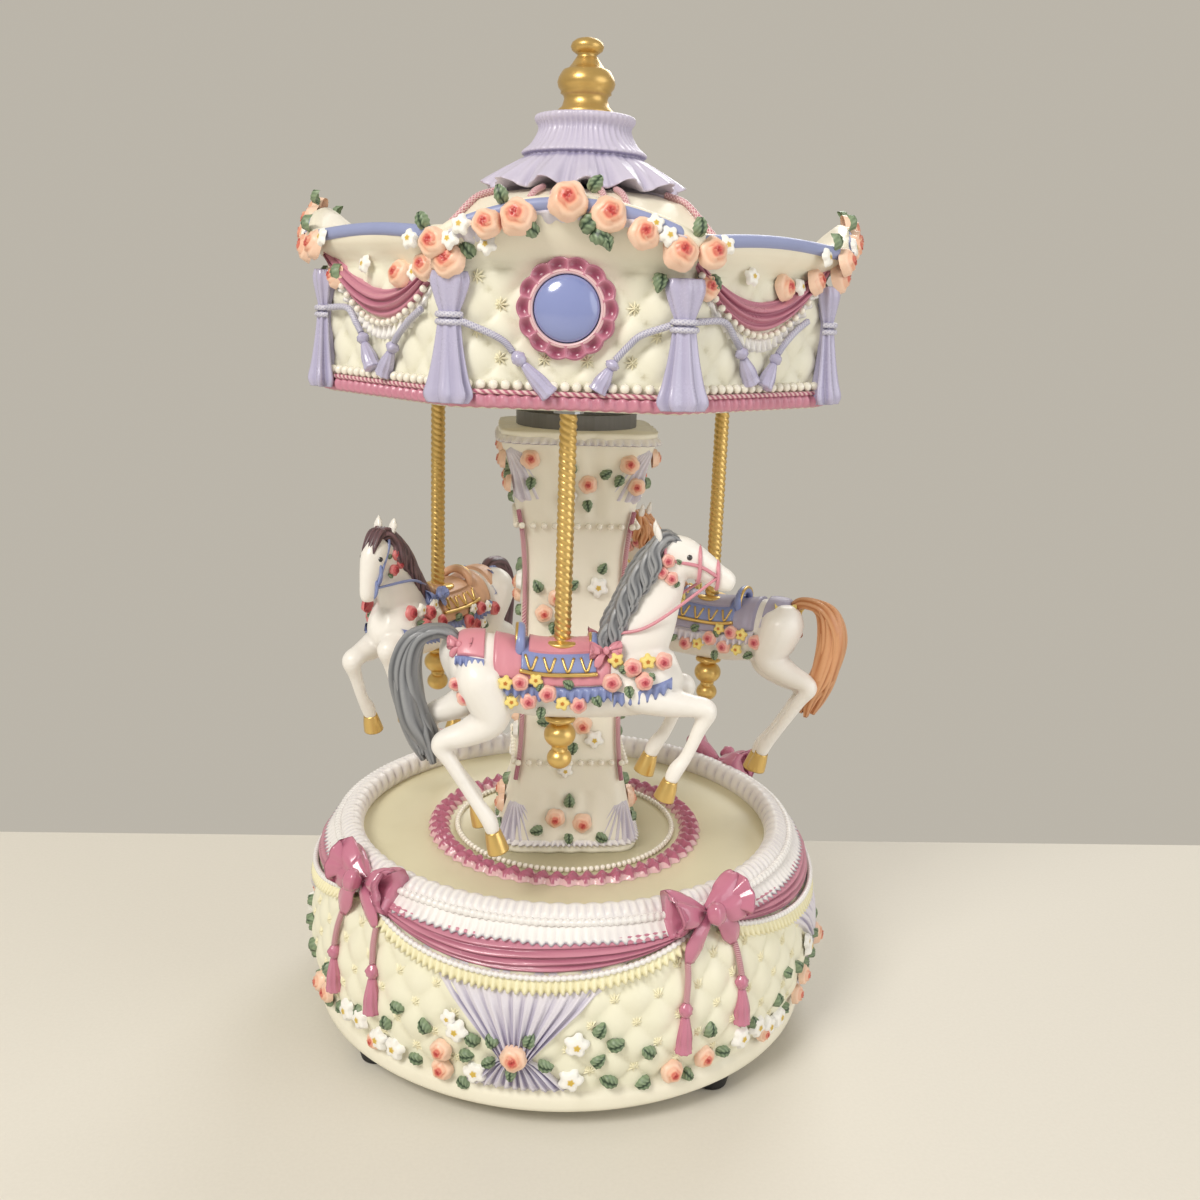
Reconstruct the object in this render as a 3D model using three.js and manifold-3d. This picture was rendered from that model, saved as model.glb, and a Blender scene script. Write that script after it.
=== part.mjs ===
// Three-horse carousel music box: a cast base with a spring movement inside, a square column,
// and a turning octagonal canopy that carries three horses on twisted poles.
// Millimetres, +Z up, origin at the centre of the base where it rests on its rubber feet.
import * as THREE from 'three';
import { mergeVertices } from 'three/addons/utils/BufferGeometryUtils.js';
import Module from 'manifold-3d';

const wasm = await Module();
wasm.setup();

// Driving dimensions.
const FOOT_HEIGHT = 6;
const FOOT_RADIUS = 6;
const FOOT_COUNT = 4;
const FOOT_AZIMUTH = 38;             // degrees from the front, towards +X
const BASE_RADIUS = 80;             // plinth at the lower edge
const BASE_BULGE = 2;               // how far the skirt swells past the plinth
const BASE_WALL = 5;
const BASE_HEIGHT = 51.5;           // feet to platform
const PLINTH_HEIGHT = 12;
const RIM_SET_IN = 14;              // frilled rim round the platform, in from the plinth's edge
const RIM_WIDTH = 8;
const RIM_HEIGHT = 5.5;
const RING_SPACING = 6;             // gathered ribbon laid on the platform, out from the pearls
const RING_WIDTH = 6;
const RING_HEIGHT = 2.6;
const PEARL_RING_MARGIN = 4.1;      // ring of pearls, out from the corners of the column's foot
const PEARL = 1.8;
const BOW_SIZE = 9;
const BOW_AZIMUTHS = [30, 130, 210, 310];   // degrees from the front, towards +X
const COLUMN_HEIGHT = 132.5;
const COLUMN_HALF_WIDTH = 16;       // half the width of the shaft's flat sides
const FOOT_FLARE = 6.2;             // how far the column's foot and capital stand out
const CAPITAL_FLARE = 7.6;
const COLUMN_YAW = 2;               // degrees
const BEARING_RADIUS = 18.5;
const BEARING_HEIGHT = 9.7;
const CANOPY_RADIUS = 74.5;         // octagon, to its corners
const CORNICE_FLARE = 5;            // how far the cornice leans out past the wall
const BAND_STAND = 1.6;             // how far the band stands out past the wall
const CANOPY_WALL = 6.5;
const CANOPY_HEIGHT = 38;           // wall, from the band to the cornice
const PEDIMENT_HEIGHT = 11;         // arched head of a medallion panel
const MEDALLION_RADIUS = 11;
const MEDALLION_HEIGHT = 25;        // its centre, above the band
const CANOPY_AZIMUTH = -4.3;        // centre of the front medallion panel, degrees
const FLOOR_THICKNESS = 3;
const ROOF_FOOT = 45;               // roof behind its parapet, to its flats
const ROOF_RISE = 20;               // cornice to the top of the roof
const CAP_HEM_RADIUS = 29;
const CAP_HEIGHT = 21;
const FINIAL_RADIUS = 8.7;
const FINIAL_HEIGHT = 21;
const POLE_CIRCLE = 54;             // radius of the circle the poles stand on
const POLE_RADIUS = 2.35;
const SEAT_DROP = 65;               // canopy floor down to a horse's saddle at the top of its stroke
const BEAD_RADIUS = 4.6;
const SMALL_BEAD_RADIUS = 3.6;
const STROKE = 6.5;                 // rise and fall of a horse
const TAIL_REACH = 36.5;            // pole to the middle of a horse's tail
const SHAFT_RADIUS = 2;
const GEAR_MODULE = 1.05;
const WHEEL_TEETH = 36;             // great wheel on the spring barrel
const DRUM_TEETH = 18;
const FAN_TEETH = 12;

// Clearances.
const SEAT = 0.05;                  // between pieces that are stacked or glued
const GAP = 0.3;                    // between pieces that turn, slide or are let into each other

const deg = THREE.MathUtils.degToRad;
const RIM_INNER_RADIUS = BASE_RADIUS - RIM_SET_IN;
const FOOT_HALF_WIDTH = COLUMN_HALF_WIDTH + FOOT_FLARE;
const PEARL_RING_RADIUS = FOOT_HALF_WIDTH * Math.SQRT2 + PEARL_RING_MARGIN;
const RING_RADIUS = PEARL_RING_RADIUS + RING_SPACING;
const PLATFORM_Z = FOOT_HEIGHT + BASE_HEIGHT;
const COLUMN_TOP_Z = PLATFORM_Z + COLUMN_HEIGHT;
const CANOPY_Z = COLUMN_TOP_Z + BEARING_HEIGHT + GAP;
const FLOOR_TOP_Z = CANOPY_Z + FLOOR_THICKNESS;
const CORNICE_Z = CANOPY_Z + CANOPY_HEIGHT;
const ROOF_TOP_Z = CORNICE_Z + ROOF_RISE;
const CAP_TOP_Z = ROOF_TOP_Z + CAP_HEIGHT;

const CREAM = 0xeee8cf;
const MAGENTA = 0xb0607e;
const LAVENDER = 0xbcb4d0;
const GOLD = 0xb8923c;
const WHITE = 0xf4f1e6;
const STEEL = 0x9a9a9c;
const BRASS = 0xb89a4e;
const BLUE = 0x2f86d8;
const GREY_PLASTIC = 0x77787c;
const BLACK = 0x161616;

const group = new THREE.Group();

function part(name, geometry, colour, roughness, metalness, parent = group) {
  const material = new THREE.MeshStandardMaterial({ color: colour, roughness, metalness });
  const mesh = new THREE.Mesh(geometry, material);
  mesh.name = name;
  parent.add(mesh);
  return mesh;
}

// A point at an azimuth counted from the front (-Y) towards +X.
function around(azimuth, radius, z = 0) {
  return new THREE.Vector3(radius * Math.sin(deg(azimuth)), -radius * Math.cos(deg(azimuth)), z);
}

// Position-only geometry with shared vertices and no collapsed triangles.
function welded(source) {
  const loose = source.clone();
  for (const name of Object.keys(loose.attributes)) {
    if (name !== 'position') loose.deleteAttribute(name);
  }
  const merged = mergeVertices(loose, 1e-4);
  const kept = [];
  const index = merged.index.array;
  for (let i = 0; i < index.length; i += 3) {
    const [a, b, c] = index.slice(i, i + 3);
    if (a !== b && b !== c && c !== a) kept.push(a, b, c);
  }
  merged.setIndex(kept);
  return merged;
}

function toSolid(source) {
  const geometry = welded(source);
  const vertProperties = new Float32Array(geometry.attributes.position.array);
  const triVerts = new Uint32Array(geometry.index.array);
  return new wasm.Manifold(new wasm.Mesh({ numProp: 3, vertProperties, triVerts }));
}

function toGeometry(solid) {
  const mesh = solid.getMesh();
  const geometry = new THREE.BufferGeometry();
  geometry.setAttribute('position', new THREE.BufferAttribute(mesh.vertProperties, 3));
  geometry.setIndex(new THREE.BufferAttribute(mesh.triVerts, 1));
  return geometry;
}

function joined(pieces, cuts = []) {
  let solid = toSolid(pieces[0]);
  for (const piece of pieces.slice(1)) solid = solid.add(toSolid(piece));
  for (const cut of cuts) solid = solid.subtract(toSolid(cut));
  return toGeometry(solid);
}

// Turned shape about Z from [radius, z] points listed anticlockwise in the section.
function turned(profile, segments = 24) {
  const points = profile.map(([radius, z]) => new THREE.Vector2(radius, z));
  return welded(new THREE.LatheGeometry(points, segments).rotateX(Math.PI / 2));
}

// Turned shape with a bore: the section closes on itself.
function bored(profile, segments = 24) {
  return turned([...profile, profile[0]], segments);
}

function disc(radius, bottom, top, bore = 0, segments = 24) {
  if (bore === 0) return turned([[0, bottom], [radius, bottom], [radius, top], [0, top]], segments);
  return bored([[bore, bottom], [radius, bottom], [radius, top], [bore, top]], segments);
}

// Shape with flat sides facing the axes: a four- or eight-sided turning, sized to its flats.
function prismatic(profile, sides, yaw) {
  const corner = 1 / Math.cos(Math.PI / sides);
  const geometry = bored(profile.map(([flat, z]) => [flat * corner, z]), sides);
  return geometry.rotateZ(Math.PI / sides + deg(yaw));
}

// Round-ended limb between two points, tapering from one radius to the other.
function limb(from, to, startRadius, endRadius, sides = 6) {
  const start = new THREE.Vector3(...from);
  const end = new THREE.Vector3(...to);
  const along = end.clone().sub(start);
  const length = along.length();
  const profile = [
    [0, -startRadius * 0.9],
    [startRadius, -startRadius * 0.2],
    [endRadius, length + endRadius * 0.2],
    [0, length + endRadius * 0.9],
  ];
  const geometry = turned(profile, sides);
  const up = new THREE.Vector3(0, 0, 1);
  geometry.applyQuaternion(new THREE.Quaternion().setFromUnitVectors(up, along.normalize()));
  return geometry.translate(start.x, start.y, start.z);
}

function egg(centre, radii, columns = 12, rows = 8) {
  const geometry = new THREE.SphereGeometry(1, columns, rows);
  return geometry.scale(...radii).translate(...centre);
}

// ---- Base ---------------------------------------------------------------------------------

const LIP_RADIUS = BASE_RADIUS - 16;
const LEDGE_RADIUS = LIP_RADIUS - 4;
const COVER_TOP_Z = FOOT_HEIGHT + 9;

function baseShell() {
  const swell = BASE_RADIUS + BASE_BULGE;
  const floor = FOOT_HEIGHT + PLINTH_HEIGHT;
  const outer = [
    [LIP_RADIUS, FOOT_HEIGHT],
    [BASE_RADIUS - 1, FOOT_HEIGHT],
    [BASE_RADIUS + 0.5, FOOT_HEIGHT + 1.5],
    [BASE_RADIUS + 0.5, FOOT_HEIGHT + 6],
    [BASE_RADIUS - 1, FOOT_HEIGHT + 8],
    [swell, floor + 8],
    [swell - 1, PLATFORM_Z - BASE_HEIGHT * 0.35],
    [swell - 5, PLATFORM_Z - BASE_HEIGHT * 0.15],
    [RIM_INNER_RADIUS + RIM_WIDTH - 1, PLATFORM_Z],
  ];
  const inner = [
    [SHAFT_RADIUS + GAP, PLATFORM_Z],
    [SHAFT_RADIUS + GAP, PLATFORM_Z - BASE_WALL],
    [RIM_INNER_RADIUS, PLATFORM_Z - BASE_WALL],
    [swell - 5 - BASE_WALL, PLATFORM_Z - BASE_HEIGHT * 0.25],
    [swell - BASE_WALL, floor + 12],
    [swell - BASE_WALL - 2, floor],
    [LEDGE_RADIUS, floor],
    [LEDGE_RADIUS, COVER_TOP_Z],
    [LIP_RADIUS, COVER_TOP_Z],
  ];
  return bored([...outer, ...inner], 36);
}

function ribbonRing(radius, width, height) {
  const half = width / 2;
  const z = PLATFORM_Z + SEAT;
  return bored([
    [radius - half, z],
    [radius + half, z],
    [radius + half, z + height * 0.6],
    [radius, z + height],
    [radius - half, z + height * 0.6],
  ], 36);
}

// A bow: a knot between two puffed loops, standing on the shoulder of the base.
function bow() {
  const loop = [BOW_SIZE * 0.72, BOW_SIZE * 0.34, BOW_SIZE * 0.5];
  return joined([
    egg([0, 0, 0], [BOW_SIZE * 0.36, BOW_SIZE * 0.34, BOW_SIZE * 0.4], 6, 4),
    egg([BOW_SIZE * 0.75, 0, BOW_SIZE * 0.12], loop, 7, 5),
    egg([-BOW_SIZE * 0.75, 0, BOW_SIZE * 0.12], loop, 7, 5),
  ]);
}

function addBase() {
  part('base_shell', baseShell(), CREAM, 0.45, 0);
  const rimMiddle = RIM_INNER_RADIUS + RIM_WIDTH / 2;
  part('rim_frill', ribbonRing(rimMiddle, RIM_WIDTH, RIM_HEIGHT), WHITE, 0.4, 0);
  part('platform_ribbon', ribbonRing(RING_RADIUS, RING_WIDTH, RING_HEIGHT), MAGENTA, 0.35, 0);
  part('platform_pearls', ribbonRing(PEARL_RING_RADIUS, PEARL, PEARL), WHITE, 0.3, 0);
  BOW_AZIMUTHS.forEach((azimuth, i) => {
    const mesh = part(`bow_${i + 1}`, bow(), MAGENTA, 0.3, 0);
    const radius = RIM_INNER_RADIUS + RIM_WIDTH + GAP + BOW_SIZE * 0.34;
    mesh.position.copy(around(azimuth, radius, PLATFORM_Z + 1));
    mesh.rotation.z = deg(azimuth);
  });
  const footCircle = (LIP_RADIUS + BASE_RADIUS) / 2;
  for (let i = 0; i < FOOT_COUNT; i++) {
    const azimuth = FOOT_AZIMUTH + i * 360 / FOOT_COUNT;
    const mesh = part(`foot_${i + 1}`, disc(FOOT_RADIUS, 0, FOOT_HEIGHT - SEAT, 0, 16), BLACK, 0.8, 0);
    mesh.position.copy(around(azimuth, footCircle));
  }
}

function addColumn() {
  const foot = FOOT_HALF_WIDTH;
  const capital = COLUMN_HALF_WIDTH + CAPITAL_FLARE;
  const z = PLATFORM_Z + SEAT;
  const top = COLUMN_TOP_Z;
  const profile = [
    [SHAFT_RADIUS + GAP, z],
    [foot, z],
    [foot, z + 4],
    [foot - 0.8, z + 5],
    [COLUMN_HALF_WIDTH + 2.6, z + 27],
    [COLUMN_HALF_WIDTH + 2.6, z + 30],
    [COLUMN_HALF_WIDTH, z + 31],
    [COLUMN_HALF_WIDTH, top - 31],
    [COLUMN_HALF_WIDTH + 2.6, top - 30],
    [COLUMN_HALF_WIDTH + 2.6, top - 27],
    [capital, top - 3],
    [capital, top],
    [SHAFT_RADIUS + GAP, top],
  ];
  part('column', prismatic(profile, 4, COLUMN_YAW), CREAM, 0.45, 0);
  const middle = top + BEARING_HEIGHT * 0.45;
  const disk = bored([
    [SHAFT_RADIUS + GAP, top + SEAT],
    [BEARING_RADIUS, top + SEAT],
    [BEARING_RADIUS, middle],
    [BEARING_RADIUS * 0.84, middle],
    [BEARING_RADIUS * 0.84, top + BEARING_HEIGHT],
    [SHAFT_RADIUS + GAP, top + BEARING_HEIGHT],
  ]);
  part('bearing_disc', disk, GREY_PLASTIC, 0.5, 0);
}

// ---- Spring movement, on the cover that closes the base --------------------------------------

const BEDPLATE_TOP_Z = COVER_TOP_Z + 2.4;
const WHEEL_Z = BEDPLATE_TOP_Z + 1.2;
const GEAR_THICKNESS = 2.4;
const BARREL_RADIUS = 16;
const BARREL_TOP_Z = WHEEL_Z + 15;
const ARBOR_RADIUS = 1.6;
const COVER_THICKNESS = 2.2;
const pitchRadius = (teeth) => teeth * GEAR_MODULE / 2;
const DRUM_X = pitchRadius(WHEEL_TEETH) + pitchRadius(DRUM_TEETH);
const FAN_X = -(pitchRadius(WHEEL_TEETH) + pitchRadius(FAN_TEETH));
const DRUM_RADIUS = 8;
const DRUM_TOP_Z = WHEEL_Z + 22;

// Spur gear with slim straight-flanked teeth; phase 0 puts a tooth on +X.
function gear(teeth, bore, phase) {
  const outline = new THREE.Shape();
  const pitch = 2 * Math.PI / teeth;
  const tip = pitchRadius(teeth) + GEAR_MODULE * 0.85;
  const root = pitchRadius(teeth) - GEAR_MODULE * 1.15;
  const corners = [[-0.3, root], [-0.1, tip], [0.1, tip], [0.3, root]];
  for (let i = 0; i < teeth; i++) {
    for (const [share, radius] of corners) {
      const angle = (i + share + phase) * pitch;
      const point = [radius * Math.cos(angle), radius * Math.sin(angle)];
      if (i === 0 && share === corners[0][0]) outline.moveTo(...point);
      else outline.lineTo(...point);
    }
  }
  outline.closePath();
  const hole = new THREE.Path();
  hole.absarc(0, 0, bore, 0, 2 * Math.PI, true);
  outline.holes.push(hole);
  const geometry = new THREE.ExtrudeGeometry(outline, {
    depth: GEAR_THICKNESS, bevelEnabled: false, curveSegments: 6,
  });
  return welded(geometry.translate(0, 0, WHEEL_Z));
}

function plate(width, depth, bottom, top, x = 0, y = 0) {
  const box = new THREE.BoxGeometry(width, depth, top - bottom);
  return welded(box.translate(x, y, (bottom + top) / 2));
}

function addCover() {
  const bottom = COVER_TOP_Z - COVER_THICKNESS;
  const bore = ARBOR_RADIUS + GAP;
  const soundHole = (x) => disc(3, bottom - 1, COVER_TOP_Z + 1, 0, 12).translate(x, 38, 0);
  const cover = joined(
    [disc(LIP_RADIUS - GAP, bottom, COVER_TOP_Z - SEAT, bore, 36)],
    [-20, 0, 20].map(soundHole),
  );
  part('bottom_cover', cover, GREY_PLASTIC, 0.6, 0);
  const length = DRUM_X - FAN_X + 36;
  const bed = joined(
    [plate(length, 44, COVER_TOP_Z, BEDPLATE_TOP_Z, (DRUM_X + FAN_X) / 2 + 4)],
    [
      disc(bore, COVER_TOP_Z - 1, BEDPLATE_TOP_Z + 1, 0, 16),
      disc(ARBOR_RADIUS, COVER_TOP_Z - 1, BEDPLATE_TOP_Z + 1, 0, 16).translate(DRUM_X, 0, 0),
      disc(ARBOR_RADIUS, COVER_TOP_Z - 1, BEDPLATE_TOP_Z + 1, 0, 16).translate(FAN_X, 0, 0),
    ],
  );
  part('movement_bedplate', bed, STEEL, 0.4, 0.9);
}

// Steel comb: a plate whose slots leave one tongue for each note, standing beside the drum.
function addComb() {
  const notes = 9;
  const low = WHEEL_Z + GEAR_THICKNESS + 2;
  const high = DRUM_TOP_Z - 1;
  const face = DRUM_RADIUS + 0.9;
  const step = (high - low) / notes;
  const reach = 14;
  const slots = [];
  for (let i = 1; i < notes; i++) {
    const z = low + i * step;
    slots.push(plate(reach, 4, z - 0.25, z + 0.25, DRUM_X + reach / 2 - 1, face));
  }
  const blade = plate(20, 1.2, low, high, DRUM_X + 10, face + 0.6);
  part('comb', joined([blade], slots), STEEL, 0.3, 1);
  const bracket = plate(6, 5, BEDPLATE_TOP_Z + SEAT, high, DRUM_X + 17, face + 1.2 + SEAT + 2.5);
  part('comb_bracket', bracket, BRASS, 0.4, 0.9);
}

function addTrain() {
  const wheel = gear(WHEEL_TEETH, ARBOR_RADIUS + GAP, 0);
  const drumBody = disc(BARREL_RADIUS, WHEEL_Z + 1, BARREL_TOP_Z, ARBOR_RADIUS + GAP);
  part('spring_barrel', joined([wheel, drumBody]), BRASS, 0.35, 1);

  const arbor = (top) => disc(ARBOR_RADIUS - 0.1, COVER_TOP_Z + 0.4, top, 0, 16);
  const drum = joined([
    gear(DRUM_TEETH, ARBOR_RADIUS - 0.4, 0.5),
    disc(DRUM_RADIUS, WHEEL_Z + 2, DRUM_TOP_Z),
    arbor(DRUM_TOP_Z + 2),
  ]);
  part('pinned_drum', drum, BRASS, 0.3, 1).position.set(DRUM_X, 0, 0);

  const pinion = joined([
    gear(FAN_TEETH, ARBOR_RADIUS - 0.4, 0.5),
    arbor(BARREL_TOP_Z),
  ]);
  part('governor_pinion', pinion, BRASS, 0.3, 1).position.set(FAN_X, 0, 0);
  const low = WHEEL_Z + GEAR_THICKNESS + 1;
  const wings = joined(
    [plate(13, 0.8, low, low + 8), disc(2.6, low, low + 8, 0, 12)],
    [disc(ARBOR_RADIUS, low - 1, low + 9, 0, 16)],
  );
  part('governor_fan', wings, STEEL, 0.4, 0.9).position.set(FAN_X, 0, 0);
}

// Winding key: a wing for the fingers on an arbor that reaches up into the spring barrel.
function addKey() {
  const top = COVER_TOP_Z - COVER_THICKNESS - 0.6;
  const stem = disc(ARBOR_RADIUS, top - 3, BARREL_TOP_Z - 1, 0, 16);
  const collar = disc(3.4, top - 3, top, 0, 16);
  const wing = plate(17, 1.8, FOOT_HEIGHT * 0.5, top - 2);
  part('winding_key', joined([stem, collar, wing]), BRASS, 0.35, 1);
}

// ---- Canopy -----------------------------------------------------------------------------------

const OCTAGON_CORNER = 1 / Math.cos(Math.PI / 8);
const CANOPY_FLAT = CANOPY_RADIUS / OCTAGON_CORNER;

// Gathered curtain at a corner: full at the foot, drawn in at its tie, full again under the roses.
function cornerDrape(azimuth) {
  const z = CANOPY_Z + 5;
  const h = CANOPY_HEIGHT - 6;
  const profile = [
    [0, z],
    [5.4, z + h * 0.1],
    [2.7, z + h * 0.38],
    [5, z + h * 0.75],
    [0, z + h],
  ];
  const place = around(azimuth, CANOPY_RADIUS);
  return turned(profile, 6).translate(place.x, place.y, 0);
}

// Arched head of a medallion panel, leaning outwards over the cornice.
function pediment(azimuth) {
  const arch = new THREE.Shape();
  arch.moveTo(-24, 1);
  arch.absellipse(0, 1, 24, PEDIMENT_HEIGHT, Math.PI, 0, true);
  arch.closePath();
  const geometry = new THREE.ExtrudeGeometry(arch, { depth: 6, bevelEnabled: false, curveSegments: 6 });
  geometry.translate(0, 0, -3).rotateX(Math.PI / 2 + 0.25);
  geometry.rotateZ(deg(azimuth));
  const place = around(azimuth, CANOPY_FLAT + CORNICE_FLARE - 2, CORNICE_Z);
  return geometry.translate(place.x, place.y, place.z);
}

function canopyShell() {
  const inner = CANOPY_FLAT - CANOPY_WALL;
  const profile = [
    [inner, CANOPY_Z],
    [CANOPY_FLAT, CANOPY_Z],
    [CANOPY_FLAT, CORNICE_Z - 2],
    [CANOPY_FLAT + CORNICE_FLARE, CORNICE_Z + 4],
    [CANOPY_FLAT, CORNICE_Z + 6],
    [CANOPY_FLAT - 5, CORNICE_Z + 5],
    [ROOF_FOOT, CORNICE_Z],
    [22, ROOF_TOP_Z - 6],
    [11, ROOF_TOP_Z],
    [SHAFT_RADIUS + GAP, ROOF_TOP_Z],
    [SHAFT_RADIUS + GAP, ROOF_TOP_Z - 5],
    [18, ROOF_TOP_Z - 10],
    [ROOF_FOOT - 4, CORNICE_Z - 5],
    [inner, CORNICE_Z - 5],
  ];
  const wall = prismatic(profile, 8, CANOPY_AZIMUTH);
  const trims = [];
  for (let i = 0; i < 8; i++) trims.push(cornerDrape(CANOPY_AZIMUTH + 22.5 + i * 45));
  for (let i = 0; i < 4; i++) trims.push(pediment(CANOPY_AZIMUTH + i * 90));
  return joined([wall, ...trims]);
}

function canopyFloor() {
  const flat = CANOPY_FLAT - CANOPY_WALL - GAP;
  const slab = prismatic([
    [SHAFT_RADIUS + SEAT, CANOPY_Z],
    [flat, CANOPY_Z],
    [flat, FLOOR_TOP_Z],
    [SHAFT_RADIUS + SEAT, FLOOR_TOP_Z],
  ], 8, CANOPY_AZIMUTH);
  const holes = HORSES.map((horse) => {
    const place = around(horse.azimuth, POLE_CIRCLE);
    return disc(LIFTER_RADIUS + GAP, CANOPY_Z - 1, FLOOR_TOP_Z + 1, 0, 16).translate(place.x, place.y, 0);
  });
  return joined([slab], holes);
}

function roofCap() {
  const foot = ROOF_TOP_Z + SEAT;
  return bored([
    [SHAFT_RADIUS + GAP, foot],
    [12.5, foot],
    [20, ROOF_TOP_Z - 2],
    [CAP_HEM_RADIUS - 1, ROOF_TOP_Z - 6],
    [CAP_HEM_RADIUS, ROOF_TOP_Z - 5],
    [CAP_HEM_RADIUS - 1.5, ROOF_TOP_Z - 2],
    [CAP_HEM_RADIUS * 0.7, foot + 5],
    [CAP_HEM_RADIUS * 0.55, foot + 12],
    [CAP_HEM_RADIUS * 0.52, CAP_TOP_Z - 2.5],
    [CAP_HEM_RADIUS * 0.42, CAP_TOP_Z],
    [SHAFT_RADIUS + GAP, CAP_TOP_Z],
  ]);
}

function finial() {
  const z = CAP_TOP_Z + SEAT;
  const r = FINIAL_RADIUS;
  const h = FINIAL_HEIGHT;
  return turned([
    [0, ROOF_TOP_Z - 4],
    [SHAFT_RADIUS, ROOF_TOP_Z - 4],
    [SHAFT_RADIUS, z],
    [r * 0.92, z],
    [r, z + h * 0.05],
    [r * 0.66, z + h * 0.16],
    [r * 0.66, z + h * 0.24],
    [r, z + h * 0.36],
    [r * 0.94, z + h * 0.5],
    [r * 0.6, z + h * 0.62],
    [r * 0.34, z + h * 0.68],
    [r * 0.32, z + h * 0.74],
    [r * 0.56, z + h * 0.84],
    [r * 0.42, z + h * 0.95],
    [0, z + h],
  ], 16);
}

function addCanopy() {
  const floorHub = disc(9, FLOOR_TOP_Z + SEAT, FLOOR_TOP_Z + 7, SHAFT_RADIUS + SEAT);
  part('drive_shaft', disc(SHAFT_RADIUS, BARREL_TOP_Z + SEAT, FLOOR_TOP_Z + 8, 0, 16), STEEL, 0.3, 1);
  part('canopy_hub', floorHub, BRASS, 0.35, 1);
  part('canopy_floor', canopyFloor(), CREAM, 0.5, 0);
  part('canopy_shell', canopyShell(), LAVENDER, 0.45, 0);
  const band = prismatic([
    [CANOPY_FLAT + GAP, CANOPY_Z],
    [CANOPY_FLAT + BAND_STAND, CANOPY_Z],
    [CANOPY_FLAT + BAND_STAND, CANOPY_Z + 4],
    [CANOPY_FLAT + GAP, CANOPY_Z + 4],
  ], 8, CANOPY_AZIMUTH);
  part('canopy_band', band, MAGENTA, 0.35, 0);
  const medallionProfile = [
    [0, 0],
    [MEDALLION_RADIUS, 0],
    [MEDALLION_RADIUS, 1.6],
    [MEDALLION_RADIUS * 0.7, 4.2],
    [0, 6.4],
  ];
  for (let i = 0; i < 4; i++) {
    const dome = turned(medallionProfile, 14);
    const azimuth = CANOPY_AZIMUTH + i * 90;
    const mesh = part(`medallion_${i + 1}`, dome.rotateX(Math.PI / 2), BLUE, 0.15, 0);
    mesh.position.copy(around(azimuth, CANOPY_FLAT + GAP, CANOPY_Z + MEDALLION_HEIGHT));
    mesh.rotation.z = deg(azimuth);
  }
  part('roof_cap', roofCap(), LAVENDER, 0.45, 0);
  part('finial', finial(), GOLD, 0.3, 1);
}

// ---- Horses -----------------------------------------------------------------------------------

const POLE_SIDES = 12;
const POLE_BORE = (POLE_RADIUS + SEAT) / Math.cos(Math.PI / POLE_SIDES);
const LIFTER_RADIUS = POLE_RADIUS + 1.65;
const LIFTER_FLANGE = 7;

// drop: how far below the top of its stroke each horse stands; heading: degrees from +X.
const HORSES = [
  { id: 'a', azimuth: -4, heading: 0, drop: 0, neck: 'raised' },
  { id: 'b', azimuth: 116, heading: 150, drop: STROKE * 0.75, neck: 'level' },
  { id: 'c', azimuth: -124, heading: -120, drop: STROKE * 0.75, neck: 'arched' },
];

const NECKS = {
  raised: { base: [20, 0, -4], poll: [27, 0, 25], muzzle: [43, 0, 19] },
  level: { base: [20, 0, -4], poll: [29, 0, 22], muzzle: [44, 0, 14] },
  arched: { base: [20, 0, -4], poll: [32, 0, 20], muzzle: [38, 0, 3] },
};

// A leaping horse about its pole: X forward, origin where the pole leaves the saddle.
function horse(neck) {
  const { base, poll, muzzle } = NECKS[neck];
  const back = [poll[0] - 7, 0, poll[2] + 1];
  const pieces = [
    egg([0, 0, -11], [27, 9.2, 10.5], 10, 7),
    limb([21, 0, -10], [24, 0, -8], 9, 7.5),
    limb([-20, 0, -9], [-22, 0, -8], 9.6, 8.2),
    limb(base, poll, 8, 4.8),
    limb(poll, muzzle, 5, 3.1),
    limb([poll[0] - 1, 2.6, poll[2] + 3], [poll[0] - 1, 3.2, poll[2] + 8], 1.5, 0.7, 5),
    limb([poll[0] - 1, -2.6, poll[2] + 3], [poll[0] - 1, -3.2, poll[2] + 8], 1.5, 0.7, 5),
    limb([12, 0, 1], back, 3.2, 3.8),
    limb([-23, 0, -2], [-TAIL_REACH, 0, -4], 3.6, 4.2),
    limb([-TAIL_REACH, 0, -4], [-TAIL_REACH, 0, -20], 4.2, 4.4),
    limb([-TAIL_REACH, 0, -20], [4 - TAIL_REACH, 0, -33], 4.4, 1.8),
    egg([-1, 0, -8], [13.5, 10.6, 9.4], 10, 6),
  ];
  for (const side of [-1, 1]) {
    const reach = side > 0 ? 0 : 4;
    pieces.push(
      limb([22, side * 4, -13], [39 - reach, side * 4.5, -15], 5.4, 3.2),
      limb([39 - reach, side * 4.5, -15], [31 - reach, side * 4, -35], 3, 2),
      limb([31 - reach, side * 4, -36], [28 - reach, side * 4, -40], 2.9, 3.1),
      limb([-20, side * 4, -13], [-31, side * 4.6, -24], 7.2, 3.4),
      limb([-31, side * 4.6, -24], [-20 - reach, side * 4.4, -46], 3.1, 2.1),
      limb([-20 - reach, side * 4.4, -47], [-17 - reach, side * 4.4, -53], 2.8, 3.2),
    );
  }
  const bore = disc(POLE_RADIUS + GAP, -60, 30, 0, POLE_SIDES);
  const seat = plate(20, 30, -SEAT, 30);
  const belly = plate(16, 16, -60, BELLY_Z);
  return joined(pieces, [bore, seat, belly]);
}

const BELLY_Z = -20.5;              // flat under the belly, from the saddle
const WASHER = 1.6;
const BEAD_TOP = BELLY_Z - WASHER - 2 * SEAT;

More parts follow.
